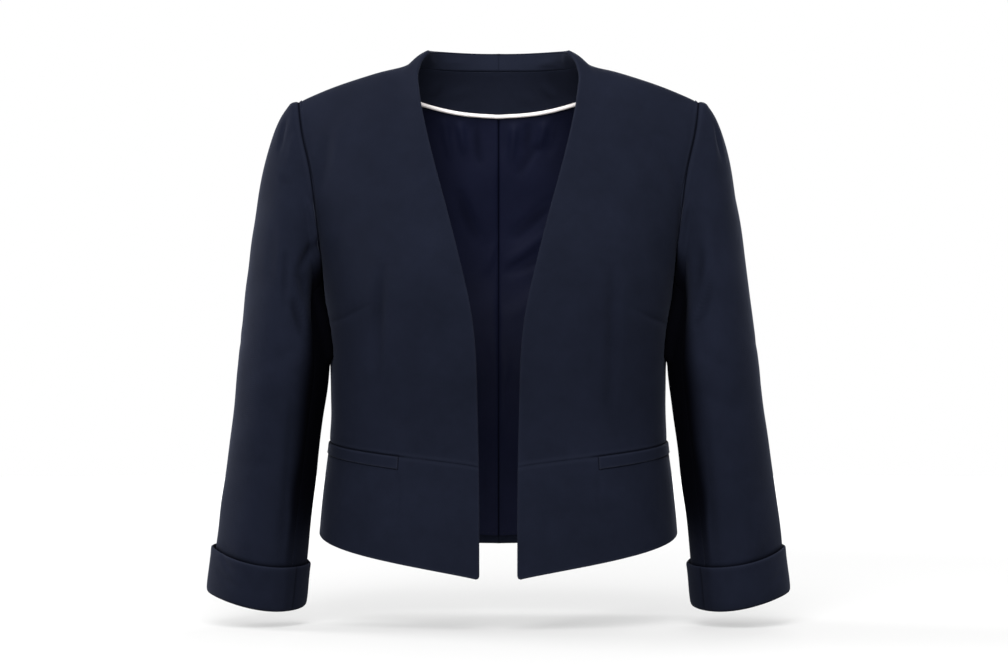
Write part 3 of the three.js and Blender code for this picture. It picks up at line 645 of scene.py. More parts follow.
def makeFront(side):
    word = "left" if side > 0 else "right"
    title = "Left" if side > 0 else "Right"
    front = gridOf(frontPoint, frontShares, frontDown)
    stand = gridOf(standPoint, standShares, standAround)
    neckColumn = int(np.argmin(np.abs(frontShares - frontNeckShare)))
    toNeck = np.abs(front["left"] - front["left"][:, neckColumn:neckColumn + 1])
    shoulder = np.where(np.arange(len(frontShares)) < neckColumn, np.hypot(front["top"], toNeck),
                        front["top"])
    x, z = front["p"][..., 0], front["p"][..., 2]
    creases = foldField(x, z, frontPiece["folds" + title])
    creaseShade(front, creases, 0.1)
    front["out"] += creases + darts(x, z, frontPiece["dart" + title])
    front["out"] += shoulderLift(front)
    seed = 11 if side > 0 else 12
    front["out"] += cloudField(x, z, frontPiece["cloud"], seed) * np.clip(shoulder / 30, 0, 1)
    rounded = np.sin(np.pi * np.clip(front["u"] / frontNeckShare, 0, 1)) * near(front["top"], 22)
    front["out"] += frontPiece["standRound"] * rounded
    front["in"] += front["out"]
    quiet = waistQuiet(x)
    for distance, share in ((shoulder, 1), (front["right"], 1), (front["bottom"], quiet)):
        front["out"] += seamDip(distance, share)
        seamShade(front, distance, share)
        # A lighter band of colour beside each seam.
        front["wear"] += near(distance - 2.5, 1.5) * 0.25
    hidden = np.clip((-140 - z) / 30, 0, 1) * np.clip((z + 330) / 40, 0, 1)
    front["shade"] = np.maximum(front["shade"], 0.75 * near(front["right"], 3.5) * hidden)
    freeEdge(front, front["left"], frontPiece)
    rounded = np.sin(np.pi * np.clip(stand["u"], 0, 1)) * near(stand["top"], 22)
    stand["out"] += frontPiece["standRound"] * rounded
    stand["in"] += stand["out"]
    neckSeam = np.abs(stand["left"] - stand["left"][:, -2:-1])
    stand["out"] += seamDip(neckSeam) + seamDip(stand["bottom"])
    seamShade(stand, neckSeam, 0.6)
    seamShade(stand, stand["bottom"], 0.6)
    freeEdge(stand, stand["left"], frontPiece)
    stand["uv"][..., 1] *= -1
    piece = clothShell(f"front_{word}_cloth", [front, stand], side, bodyCentre, outerCloth, flatMiddle=True)
    declare(piece, [f"front_{word}"])
    return piece


for side in (1, -1):
    makeFront(side)
print("fronts made")

# The hem bands of the fronts, under the waist seam

bandPiece = {"step": 2.1, "wall": 1.8, "edgeWall": 3.4, "edgeTuck": 2.6, "hemWall": 3.0,
             "waist": (-373, -350, 0.75), "hem": (-482, -442, 0.86), "corner": 5.0, "cloud": 0.6,
             "foldsLeft": [(((98, -376), (99, -395), (98, -420)), 4, 0.6),
                           (((160, -380), (164, -410), (168, -436)), 9, 0.7),
                           (((50, -400), (52, -430), (48, -462)), 12, 0.4)],
             "foldsRight": [(((99, -376), (98, -398), (99, -424)), 4, 0.8),
                            (((158, -384), (163, -412), (166, -438)), 9, 0.7),
                            (((54, -396), (50, -432), (52, -466)), 12, 0.4)]}


def bandPoint(u, v):
    waist, hem = bandPiece["waist"], bandPiece["hem"]
    edge, side = blend(waist[0], hem[0], v), blend(waist[1], hem[1], v)
    return rowPoint("front", u, edge, side, blend(waist[2], hem[2], v), edgeAcross(edge))


bandShares = stations(lambda u: bandPoint(u, 0 * u + 0.5), [(0, False, True), (1, True, False)],
                      bandPiece["step"])
bandDown = stations(lambda v: bandPoint(0 * v + 0.5, v), [(0, False, True), (1, True, False)],
                    bandPiece["step"])


def hemTurn(g, distance, wall, hemWall):
    turn = edgeTurn(distance, hemWall / 2)
    tucked = np.clip((5 - distance) / 3, 0, 1)
    g["out"] += turn
    g["in"] += -(blend(wall, hemWall, tucked) - wall) - turn
    # The turned hem edge is lighter in colour: partly wear, partly painted highlight.
    g["wear"] += near(distance, 1.6) * 0.7


# The small round corner where the front edge meets the hem.
def roundCorner(g, radius):
    across = np.clip((radius - g["left"]) / radius, 0, 1)
    down = np.clip((radius - g["bottom"]) / radius, 0, 1)
    keep = np.maximum(across, down) / np.maximum(np.hypot(across, down), 1e-9)
    g["p"][..., 0] += across * (1 - keep) * radius
    g["p"][..., 2] += down * (1 - keep) * radius


for side in (1, -1):
    word = "left" if side > 0 else "right"
    title = word.capitalize()
    band = gridOf(bandPoint, bandShares, bandDown)
    roundCorner(band, bandPiece["corner"])
    x, z = band["p"][..., 0], band["p"][..., 2]
    band["out"] += foldField(x, z, bandPiece["folds" + title])
    seed = 21 if side > 0 else 22
    band["out"] += cloudField(x, z, bandPiece["cloud"], seed) * np.clip(band["top"] / 20, 0, 1)
    band["in"] += band["out"]
    for distance, share in ((band["top"], waistQuiet(x)), (band["right"], 1)):
        band["out"] += seamDip(distance, share)
        seamShade(band, distance, share)
        # A lighter band of colour beside each seam.
        band["wear"] += near(distance - 2.5, 1.5) * 0.25
    freeEdge(band, band["left"], bandPiece)
    hemTurn(band, band["bottom"], bandPiece["wall"], bandPiece["hemWall"])
    piece = clothShell(f"front_band_{word}_cloth", [band], side, bodyCentre, outerCloth)
    declare(piece, [f"front_band_{word}"])
print("hem bands made")

# The back

backShares = stations(lambda u: backPoint(u, 0 * u + 0.4), [(0, False, True), (1, True, False)],
                      backPiece["step"])
backDown = stations(lambda v: backPoint(0 * v + 0.5, v), [(0, False, True), (1, True, False)],
                    backPiece["step"])
for side in (1, -1):
    word = "left" if side > 0 else "right"
    title = word.capitalize()
    back = gridOf(backPoint, backShares, backDown)
    x, z = back["p"][..., 0], back["p"][..., 2]
    creases = foldField(x, z, backPiece["folds" + title])
    creaseShade(back, creases, 0.3)
    back["out"] += creases + shoulderLift(back)
    calm = np.clip(back["top"] / 30, 0, 1) * np.clip(back["left"] / 25, 0, 1)
    back["out"] += cloudField(x, z, backPiece["cloud"], 31 if side > 0 else 32) * calm
    back["in"] += back["out"] - backPiece["wall"]
    for distance in (back["top"], back["left"], back["right"]):
        back["out"] += seamDip(distance)
        seamShade(back, distance, 0.7)
        # A lighter band of colour beside each seam.
        back["wear"] += near(distance - 2.5, 1.5) * 0.25
    hemTurn(back, back["bottom"], backPiece["wall"], backPiece["hemWall"])
    piece = clothShell(f"back_{word}_cloth", [back], side, bodyCentre, outerCloth, flatMiddle=True)
    declare(piece, [f"back_{word}"])
print("back made")

# The sleeves

# Millimetres round a sleeve for each degree, for folds and the weave.
alongDegree = 0.87
sleevePiece = {
    "step": 2.4,
    "wall": 1.8,
    "top": -245.0,
    "end": -501.2,
    "cuffTop": -462.2,
    "seams": (137.0, 232.0),
    "setOff": 0.25,
    "tuck": 3.2,
    "lean": {"clear": 0.35, "within": 6.0, "low": -276.0, "high": -110.0, "fade": 9.0},
    "shelter": {"back": 238.0, "backFade": 25.0, "high": -116.0, "fall": 26.0,
                # height, angle where the shade begins, angle it takes to grow, depth of the shade
                "front": [(-110, 118, 8, 0.95), (-146, 112, 8, 0.95), (-171, 114, 12, 0.95),
                          (-190, 118, 13, 0.95), (-220, 119, 18, 0.96), (-240, 115, 23, 0.97),
                          (-300, 104, 29, 0.97), (-348, 107, 28, 0.95), (-407, 117, 12, 0.9),
                          (-426, 121, 9, 0.82), (-455, 121, 9, 0.55), (-520, 121, 9, 0.45)]},
    # height, outer side, inner side, half depth, middle, tilt, dip, lean, flatness
    "rings": [(-245, 255.3, 169, 61, -13, 0.05, 0.02, 0, 1), (-270, 257.9, 168, 59, -18, 0.08, 0.04, 0, 1),
              (-300, 260.5, 171, 56.5, -20, 0.1, 0.06, 0, 1.05),
              (-340, 264.4, 176.4, 53, -22, 0.12, 0.08, 0, 1.1),
              (-380, 269.3, 181.2, 50, -24, 0.14, 0.11, 0, 1.2),
              (-420, 275, 186, 47, -26, 0.16, 0.15, 0, 1.3),
              (-460, 280, 189.7, 45, -28, 0.175, 0.17, 0, 1.4),
              (-507, 285.3, 195, 43.5, -29, 0.145, 0.15, 0.4, 1.4)],
    # angle from the top, direction across, forward and up, reach there and reach below
    "head": [(0, 1, 0, -0.2, 29, 94), (45, 0.9, -0.32, -0.4, 32, 80), (90, 0.72, -0.45, -0.6, 34, 62),
             (135, 0.42, -0.42, -0.85, 20, 30), (180, 0.06, 0, -1, 8, 10)],
    "headRoll": {"rise": 1.0, "at": 6.0, "wide": 4.5},
    "cloud": 0.9,
    # path by angle round the sleeve and height, half width, depth
    "foldsLeft": [(((0, 0), (0, -50), (0, -110)), 36, -1.5), (((0, -290), (0, -380), (0, -480)), 36, -1.4),
                  (((120, -120), (124, -158), (130, -196)), 7, 2.6),
                  (((132, -186), (139, -222), (143, -268)), 11, 2.3),
                  (((96, -150), (104, -176), (116, -204)), 6, 1.6),
                  (((92, -196), (104, -218), (122, -240)), 6, 1.3),
                  (((18, -34), (26, -50), (34, -74)), 4, 1.5), (((34, -46), (40, -58), (48, -80)), 4, -0.9),
                  (((60, -32), (64, -56), (66, -88)), 8, 0.8),
                  (((66, -120), (72, -150), (78, -190)), 9, 0.7),
                  (((-16, -247), (12, -254), (44, -247)), 7, 0.25),
                  (((62, -272), (88, -270), (112, -254)), 9, 0.5),
                  (((112, -296), (118, -380), (122, -474)), 9, 1.5),
                  (((58, -312), (88, -310), (116, -296)), 10, 0.35),
                  (((44, -372), (72, -384), (100, -380)), 9, 0.5),
                  (((232, -262), (262, -276), (296, -272)), 8, 1.3),
                  (((238, -298), (266, -308), (300, -300)), 8, 1.1),
                  (((-150, -150), (-130, -176), (-112, -206)), 8, 1.4),
                  (((-146, -196), (-124, -218), (-104, -244)), 8, 1.1),
                  (((-60, -60), (-66, -96), (-74, -140)), 9, 0.7),
                  (((40, -440), (58, -462), (84, -478)), 8, 0.6)],
    "foldsRight": [(((0, -5), (0, -80), (0, -240)), 40, -2.6),
                   (((120, -136), (113, -158), (107, -186)), 4.5, 3.0),
                   (((107, -182), (116, -196), (124, -214)), 6, 1.6),
                   (((85, -160), (89, -186), (93, -220)), 5, 1.7),
                   (((104, -208), (112, -226), (123, -248)), 6.5, 2.2),
                   (((134, -176), (140, -212), (144, -268)), 11, 2.4),
                   (((20, -28), (30, -44), (40, -66)), 4, 1.7),
                   (((44, -42), (50, -56), (58, -76)), 4, -1.0),
                   (((54, -84), (60, -92), (70, -94)), 4, 0.7), (((66, -30), (70, -56), (72, -90)), 8, 0.8),
                   (((60, -130), (64, -160), (70, -200)), 9, 0.6),
                   (((-18, -248), (8, -252), (38, -249)), 7, 0.3),
                   (((64, -270), (88, -266), (112, -250)), 9, 0.5),
                   (((110, -286), (117, -380), (121, -474)), 9, 1.6),
                   (((60, -308), (90, -308), (116, -294)), 10, 0.35),
                   (((40, -360), (70, -372), (98, -366)), 9, 0.5),
                   (((230, -256), (260, -272), (298, -268)), 8, 1.4),
                   (((236, -290), (268, -302), (304, -298)), 8, 1.1),
                   (((-152, -144), (-132, -170), (-110, -198)), 8, 1.3),
                   (((-144, -190), (-122, -214), (-100, -240)), 8, 1.2),
                   (((-58, -56), (-64, -94), (-70, -132)), 9, 0.7),
                   (((30, -446), (56, -466), (86, -478)), 7, 0.8)],
}
ringOf = [smoothCurve(sleevePiece["rings"], column) for column in range(1, 9)]
headOf = [smoothCurve(sleevePiece["head"], column) for column in range(1, 6)]
shelterFrom = smoothCurve(sleevePiece["shelter"]["front"])
shelterGrowth = smoothCurve(sleevePiece["shelter"]["front"], 2)
shelterDepth = smoothCurve(sleevePiece["shelter"]["front"], 3)


def tubePoint(angle, height, off=0.0):
    outer, inner, half, middle, tilt, dip, lean, flatness = (of(height) for of in ringOf)
    turn = np.radians(angle)
    dx = ((outer - inner) / 2 + off) * np.cos(turn)
    dy = -(half + off) * np.sign(np.sin(turn)) * np.abs(np.sin(turn)) ** flatness
    rise = dx * tilt + dy * dip * (1 - lean * np.cos(turn))
    return np.stack(np.broadcast_arrays((outer + inner) / 2 + dx, middle + dy, height + rise), axis=-1)


def armholePoint(angle):
    turned = np.mod(angle, 360)
    fall = (bodyForm["tipHeight"] - bodyForm["underarmHeight"]) / 2
    height = bodyForm["tipHeight"] - fall * (1 - np.cos(np.radians(turned)))
    front = skinAt("front", sideAcross("front", height), height)
    back = skinAt("back", sideAcross("back", height), height)
    return np.where((turned <= 180)[..., None], front, back)


def unit(vectors):
    return vectors / np.linalg.norm(vectors, axis=-1, keepdims=True)


# Round the sleeve by the angle from its outer side, and down it from 0 at the armhole to 1 and then 2.
def sleevePoint(angle, v):
    turned = np.mod(angle, 360)
    folded = np.where(turned <= 180, turned, 360 - turned)
    x, y, z, startReach, endReach = (of(folded) for of in headOf)
    way = unit(np.stack(np.broadcast_arrays(x, np.where(turned <= 180, y, -y), z), axis=-1))
    apart = unit(way + np.array([1.0, 0, 0]))
    start = armholePoint(angle) + apart * sleevePiece["setOff"]
    end = tubePoint(angle, np.full_like(angle, sleevePiece["top"]))
    down = unit(tubePoint(angle, np.full_like(angle, sleevePiece["top"] - 0.5)) - end)
    first, last = start + way * startReach[..., None], end - down * endReach[..., None]
    t = np.clip(v, 0, 1)[..., None]
    head = start * (1 - t) ** 3 + 3 * first * t * (1 - t) ** 2 + 3 * last * t ** 2 * (1 - t) + end * t ** 3
    tube = tubePoint(angle, blend(sleevePiece["top"], sleevePiece["end"], np.clip(v - 1, 0, 1)))
    tucked = start + way * np.minimum(v, 0)[..., None]
    return np.where((v >= 1)[..., None], tube, np.where((v < 0)[..., None], tucked, head))


def sleeveCentre(points):
    height = np.clip(points[:, 2], sleevePiece["end"], sleevePiece["top"])
    return np.stack([(ringOf[0](height) + ringOf[1](height)) / 2, ringOf[3](height), points[:, 2]], axis=-1)


# The part of a sleeve that little light reaches, between the arm and the body.
def sheltered(angle, height):
    shelter = sleevePiece["shelter"]
    turned = np.mod(angle, 360)
    first = np.clip((turned - shelterFrom(height)) / shelterGrowth(height), 0, 1)
    last = np.clip((shelter["back"] - turned) / shelter["backFade"], 0, 1)
    low = np.clip((shelter["high"] - height) / shelter["fall"], 0, 1)
    soft = first * last * low
    return shelterDepth(height) * soft * soft * (3 - 2 * soft)


# How far the inner side of a sleeve stands off the body, where it hangs against it.
def closeToBody(points):
    x, y, z = points[..., 0], points[..., 1], points[..., 2]
    lean = sleevePiece["lean"]
    face = np.where(y <= bodyForm["sideSeamY"], -1.0, 1.0)
    depth = np.where(face < 0, depthOf["front"](np.sqrt(levelAt(0 * z, z))),
                     depthOf["back"](np.sqrt(levelAt(0 * z, z))))
    share = np.clip(np.abs(y - bodyForm["sideSeamY"]) / depth, 0, 0.999)
    side = halfWidth(z) * (1 - share ** bodyForm["roundness"]) ** (1 / bodyForm["roundness"])
    gap = x - side - lean["clear"]
    reach = np.clip((z - lean["low"]) / lean["fade"], 0, 1) * np.clip((lean["high"] - z) / lean["fade"], 0, 1)
    return np.where(gap > 0, gap * np.clip(2 - gap / lean["within"], 0, 1), 0) * reach


def sleeveStations():
    head = stations(lambda v: sleevePoint(0 * v + 70.0, v), [(0, False, True), (1, False, False)],
                    sleevePiece["step"])
    tube = stations(lambda v: sleevePoint(0 * v + 70.0, v), [(1, False, False), (2, False, False)],
                    sleevePiece["step"])
    return np.concatenate([[-sleevePiece["tuck"], -sleevePiece["tuck"] / 2], head, tube[1:]])


def makeSleeve(side):
    word = "left" if side > 0 else "right"
    title = word.capitalize()
    down = sleeveStations()
    front, back = sleevePiece["seams"]
    for kind, start, end, flat, area in (("top_sleeve", back - 360, front, (0.27, 0.5), 0.1),
                                         ("under_sleeve", front, back, (0.1, 0.36), 0.026)):
        around = stations(lambda a: sleevePoint(a, 0 * a + 1.5), [(start, False, True), (end, True, False)],
                          sleevePiece["step"])
        g = gridOf(sleevePoint, around, down)
        g["top"] = np.abs(g["top"] - g["top"][2:3])
        angle, height = g["u"], g["p"][..., 2]
        field = np.zeros(angle.shape)
        for shift in (-360, 0, 360):
            field += foldField((angle + shift) * alongDegree, height, [
                (tuple((a * alongDegree, z) for a, z in path), wide, deep)
                for path, wide, deep in sleevePiece["folds" + title]])
        creaseShade(g, field, 0.24)
        calm = np.clip(g["top"] / 25, 0, 1) * np.clip(np.minimum(g["left"], g["right"]) / 8, 0, 1)
        g["out"] += field * np.clip(g["top"] / 8, 0, 1) + closeToBody(g["p"])
        g["out"] += cloudField(angle * alongDegree, height, sleevePiece["cloud"], 41 if side > 0 else 42) * calm
        g["in"] += g["out"] - sleevePiece["wall"]
        upper = (1 + np.cos(np.radians(angle))) / 2
        roll = sleevePiece["headRoll"]
        g["out"] += roll["rise"] * near(g["top"] - roll["at"], roll["wide"]) * upper
        beside = np.minimum(g["left"], g["right"])
        g["out"] += seamDip(g["top"], 1.2) + seamDip(beside, 0.8)
        seamShade(g, g["top"], 1.2)
        seamShade(g, beside, 0.6)
        overCuff = blend(sleevePiece["top"], sleevePiece["end"], g["v"] - 1) - sleevePiece["cuffTop"]
        g["shade"] = np.maximum(g["shade"], 0.7 * near(np.maximum(overCuff, 0), 2.4))
        g["shade"] = np.maximum(g["shade"], sheltered(angle, height))
        # A lighter band below the armhole seam: partly wear, partly painted highlight on the sleeve head's roll.
        g["wear"] += near(g["top"] - 3, 2) * 0.3
        piece = clothShell(f"{kind}_{word}_cloth", [g], side, sleeveCentre, outerCloth)
        declare(piece, [f"{kind}_{word}"])


for side in (1, -1):
    makeSleeve(side)
print("sleeves made")

# The turned-back cuffs, each one section swept round the sleeve's end

cuffPiece = {
    "fold": -505.7,
    "step": 2.0,
    # height above the fold, and distance off the sleeve, from the inner edge round the fold to the free edge
    "section": [(14.0, -2.5), (9.0, -2.6), (4.5, -2.5), (1.6, -2.0), (0.0, -0.6), (-0.5, 1.3), (0.1, 3.0),
                (1.8, 4.0), (4.5, 4.4), (9.0, 4.5), (15.0, 4.4), (22.0, 4.1), (29.0, 3.9), (35.0, 3.8),
                (39.5, 3.9), (42.0, 3.95), (43.2, 3.7), (43.8, 3.0), (43.5, 2.3), (42.5, 1.7), (40.0, 1.35),
                (34.0, 1.3), (26.0, 1.3), (18.0, 1.4), (10.0, 1.6), (5.0, 1.6), (3.2, 0.9), (3.4, -0.6),
                (6.0, -1.0), (10.0, -1.1), (13.4, -1.2), (14.3, -1.9)],
    "foldsLeft": [(((30, 26), (44, 20), (60, 16)), 5, 0.5), (((100, 8), (104, 22), (102, 36)), 8, 0.4),
                  (((-40, 10), (-30, 24), (-34, 38)), 9, 0.5)],
    "foldsRight": [(((34, 28), (50, 22), (72, 17)), 5, 0.7), (((38, 46), (48, 38), (64, 30)), 4, 1.1),
                   (((96, 6), (100, 22), (98, 38)), 8, 0.4), (((-50, 8), (-36, 22), (-40, 38)), 9, 0.5)],
    "seamAngle": 140.0,
}


def cuffMesh(side):
    word = "left" if side > 0 else "right"
    section = np.array(cuffPiece["section"])
    angles = np.arange(0, 360, 360 / 168.0)
    closed = np.concatenate([section, section[:1]])
    fine = []
    for a, b in zip(closed, closed[1:]):
        count = max(1, round(float(np.linalg.norm(b - a)) / cuffPiece["step"]))
        fine += [blend(a, b, k / count) for k in range(count)]
    fine = np.array(fine)
    angle, rise = np.meshgrid(angles, fine[:, 0])
    off = np.broadcast_to(fine[:, 1:2], angle.shape).copy()
    outside = np.clip((off - 2.4) / 1.2, 0, 1) * np.clip(rise / 3, 0, 1)
    for shift in (-360, 0):
        off += outside * foldField((angle + shift) * alongDegree, rise, [
            (tuple((a * alongDegree, z) for a, z in path), wide, deep)
            for path, wide, deep in cuffPiece["folds" + word.capitalize()]])
    turned = 0.6 if side > 0 else 1.9
    slack = np.sin(np.radians(angle) * 2 + turned) + 0.6 * np.sin(np.radians(angle) * 5 + 2.2)
    off += np.clip(off - 0.8, 0, 1) * slack * 0.28 * np.clip(rise / 40, 0, 1)
    seam = np.abs(np.mod(angle - cuffPiece["seamAngle"] + 180, 360) - 180) * alongDegree
    off += outside * seamDip(seam, 0.8)
    points = tubePoint(angle, cuffPiece["fold"] + rise, off)
    rows, columns = angle.shape
    number = np.arange(rows * columns).reshape(rows, columns)
    nextColumn, nextRow = np.roll(number, -1, axis=1), np.roll(number, -1, axis=0)
    both = np.roll(nextColumn, -1, axis=0)
    quads = np.stack([number, nextColumn, both, nextRow], axis=-1).reshape(-1, 4)
    vertices = points.reshape(-1, 3)
    volume = (faceNormals(vertices, quads) * vertices[quads].mean(axis=1)).sum()
    if (volume < 0) == (side > 0):
        quads = quads[:, ::-1]
    if side < 0:
        vertices = vertices * np.array([-1.0, 1, 1])
    arc = np.concatenate([[0], np.cumsum(np.linalg.norm(np.diff(fine, axis=0), axis=1))])
    flat = np.stack([angle * alongDegree, np.broadcast_to(arc[:, None], angle.shape)], axis=-1).reshape(-1, 2)
    # The cuff's top edge and fold are lighter in colour: partly wear, partly painted highlight.
    wornAndPaintedLight = (near(rise - 43.4, 1.5) + near(rise + 0.2, 1.6)).reshape(-1) * 0.4
    shade = 0.5 * sheltered(angle, tubePoint(angle, cuffPiece["fold"] + rise)[..., 2])
    shade = shade + 0.6 * near(seam, 0.9) * outside
    shade = np.maximum(shade, 0.8 * np.clip(1 - outside * 4, 0, 1)).reshape(-1)
    piece = meshPiece(f"cuff_{word}_cloth", vertices, quads, outerCloth, flat, wornAndPaintedLight, shade)
    declare(piece, [f"cuff_{word}"])


for side in (1, -1):
    cuffMesh(side)
print("cuffs made")

# The pocket welts, set in the waist seam

weltPiece = {"step": 1.6, "inner": 97.5, "share": 0.13, "rise": 0.95, "sunk": 0.3}
weltShare = shareAcross(frontPanel, 1.0, weltPiece["inner"], -373.0)
weltShares = stations(lambda u: bandPoint(u, 0 * u + 0.07), [(weltShare, False, True), (1, True, False)],
                      weltPiece["step"])
weltDown = stations(lambda v: bandPoint(0 * v + 0.8, v),
                    [(0, False, True), (weltPiece["share"], True, False)],
                    weltPiece["step"])
for side in (1, -1):
    word = "left" if side > 0 else "right"
    welt = gridOf(bandPoint, weltShares, weltDown)
    x, z = welt["p"][..., 0], welt["p"][..., 2]
    follow = foldField(x, z, bandPiece["folds" + word.capitalize()])
    rim = np.minimum(np.minimum(welt["left"], welt["bottom"]), np.minimum(welt["top"], welt["right"]))
    full = 1 - np.clip(1 - rim / 1.6, 0, 1) ** 2
    welt["out"] += follow + blend(0.1, weltPiece["rise"], full)
    welt["in"] += follow - weltPiece["sunk"]
    welt["out"] -= 0.9 * near(welt["top"], 1.4) + 0.5 * near(welt["right"], 1.2)
    welt["in"] -= 0.9 * near(welt["top"], 1.4) + 0.5 * near(welt["right"], 1.2)
    # The welt's rim is lighter in colour: partly wear, partly painted highlight.
    welt["wear"] += near(rim - 1.2, 0.9) * 0.4
    seamShade(welt, welt["top"], 1.1)
    seamShade(welt, np.minimum(welt["left"], welt["bottom"]), 0.85)
    piece = clothShell(f"pocket_welt_{word}_cloth", [welt], side, bodyCentre, outerCloth)
    declare(piece, [f"pocket_welt_{word}"])
print("welts made")

# Facings behind the front edges and stands, and at the back of the neck

facingPiece = {
    "step": 3.0,
    "gap": 0.4,
    "lift": 0.06,
    "fromEdge": 4,
    "wall": 1.2,
    "neckGap": 1.2,
    "neckEnd": 130.0,
    "standShort": -0.08,
    # distance from the midline, height of the neck facing's lower edge
    "lowEdge": [(0, -21.5), (40, -18.2), (78, -9), (104, 1), (120, 9.6), (130, 15)],
}
facingHeight = smoothCurve(facingPiece["lowEdge"])
facingShare = frontNeckShare + 0.75 * (shareAcross(frontPanel, 1.0, weltPiece["inner"],
                                                   -373.0) - frontNeckShare)


def insideCloth(g, depth, wall):
    g["out"] -= depth
    g["in"] = g["out"] - wall


def softEdge(g, distance, wall):
    turn = edgeTurn(distance, wall / 2)
    g["out"] += turn
    g["in"] -= turn


def facingGrids(side):
    word = "Left" if side > 0 else "Right"
    depth = frontPiece["wall"] + facingPiece["gap"] - facingPiece["lift"]
    columns = stations(lambda u: frontPoint(u, 0 * u + 0.3),
                       [(0, False, True), (frontNeckShare, False, False),
                                                             (facingShare, True, False)], facingPiece["step"])
    keep = columns[facingPiece["fromEdge"]:]
    down = stations(lambda v: frontPoint(0 * v + 0.2, v), [(0, False, False), (1, False, False)],
                    facingPiece["step"])
    low = stations(lambda v: bandPoint(0 * v + 0.2, v), [(0, False, False), (1, True, False)],
                   facingPiece["step"])
    front = gridOf(frontPoint, keep, down)
    band = gridOf(bandPoint, keep, low)
    shorter = keep[keep <= frontNeckShare + 1e-9] / frontNeckShare
    around = stations(lambda s: standPoint(0 * s + 0.5, s), [(0, False, False), (1, True, False)], 2.2)
    stand = gridOf(lambda u, s: standPoint(u, s, facingPiece["standShort"]), shorter, around)
    for g in (front, band, stand):
        x, z = g["p"][..., 0], g["p"][..., 2]
        if g is not stand:
            g["out"] += foldField(x, z, (frontPiece if g is front else bandPiece)["folds" + word])
            softEdge(g, g["right"], facingPiece["wall"])
        g["in"] = g["out"] * 1.0
        insideCloth(g, depth, facingPiece["wall"])
    return front, band, stand


for side in (1, -1):
    word = "left" if side > 0 else "right"
    front, band, stand = facingGrids(side)
    wrinkles = ([(((0.8, 34), (0.62, 48), (0.7, 68)), 2.6, 1.0),
                 (((0.45, 24), (0.42, 40), (0.5, 58)), 3, 0.7),
                 (((0.2, 12), (0.4, 22), (0.75, 30)), 3, 0.8)]
                if side > 0 else [(((0.25, 10), (0.45, 22), (0.7, 36)), 3, 0.8),
                                  (((0.6, 40), (0.5, 56), (0.55, 70)), 3, 0.5)])
    crumple = foldField(stand["u"] * 20, stand["top"], [
        (tuple((a * 20, s) for a, s in path), wide, deep) for path, wide, deep in wrinkles])
    stand["in"] += crumple
    stand["in"] -= seamDip(stand["bottom"], 0.5) + seamDip(stand["right"], 0.2)
    # Painted light: the inside of the stand, which faces up to the light, is made lighter in colour.
    stand["innerWear"] += 0.42
    seamShade(stand, stand["bottom"], 0.4)
    seamShade(stand, stand["right"], 0.4)
    piece = clothShell(f"front_facing_{word}_cloth", [front, band, stand], side, bodyCentre, outerCloth,
                       flatMiddle=True)
    declare(piece, [f"front_facing_{word}"])


def neckFacingPoint(u, v):
    turn = np.radians(90 * u)
    topX, lowX = bodyForm["neckAcross"] * np.sin(turn), facingPiece["neckEnd"] * np.sin(turn)
    across = blend(topX, lowX, v)
    height = blend(neckHeight(topX) - 0.1, facingHeight(lowX), v)
    return skinAt("back", across, np.minimum(height, ridgeHeight(across)))


neckShares = stations(lambda u: neckFacingPoint(u, 0 * u + 0.6), [(0, False, False), (1, False, False)], 2.4)
neckDown = stations(lambda v: neckFacingPoint(0 * v + 0.05, v), [(0, False, True), (1, True, False)], 2.2)
mirrorBack = np.array([-1.0, 1, 1])


def bothSides(make):
    left = make(1)
    right = make(-1)
    right["p"] = right["p"] * mirrorBack
    right["uv"][..., 0] *= -1
    return [left, right]


def neckFacingGrid(side):
    g = gridOf(neckFacingPoint, neckShares, neckDown)
    g["uv"][..., 0] = g["left"]
    x, z = g["p"][..., 0], g["p"][..., 2]
    creases = ([(((44, 14), (52, 4), (62, 0)), 5, 0.8), (((20, 2), (30, -4), (40, -6)), 6, 0.5)] if side > 0 else
               [(((30, 10), (40, 2), (52, 0)), 6, 0.5), (((60, 16), (66, 6), (70, 0)), 5, 0.6)])
    g["out"] -= frontPiece["wall"] + facingPiece["neckGap"]
    g["in"] = g["out"] - facingPiece["wall"] + foldField(x, z, creases) + 0.25 * near(g["top"], 2.2)
    # Painted light: the inside of the back neck facing is made lighter in colour.
    g["innerWear"] += 0.24
    return g


neckFacing = clothShell("back_neck_facing_cloth", bothSides(neckFacingGrid), 1, bodyCentre, outerCloth,
                        flatMiddle=True)
declare(neckFacing, ["back_neck_facing"])
print("facings made")

# The back lining

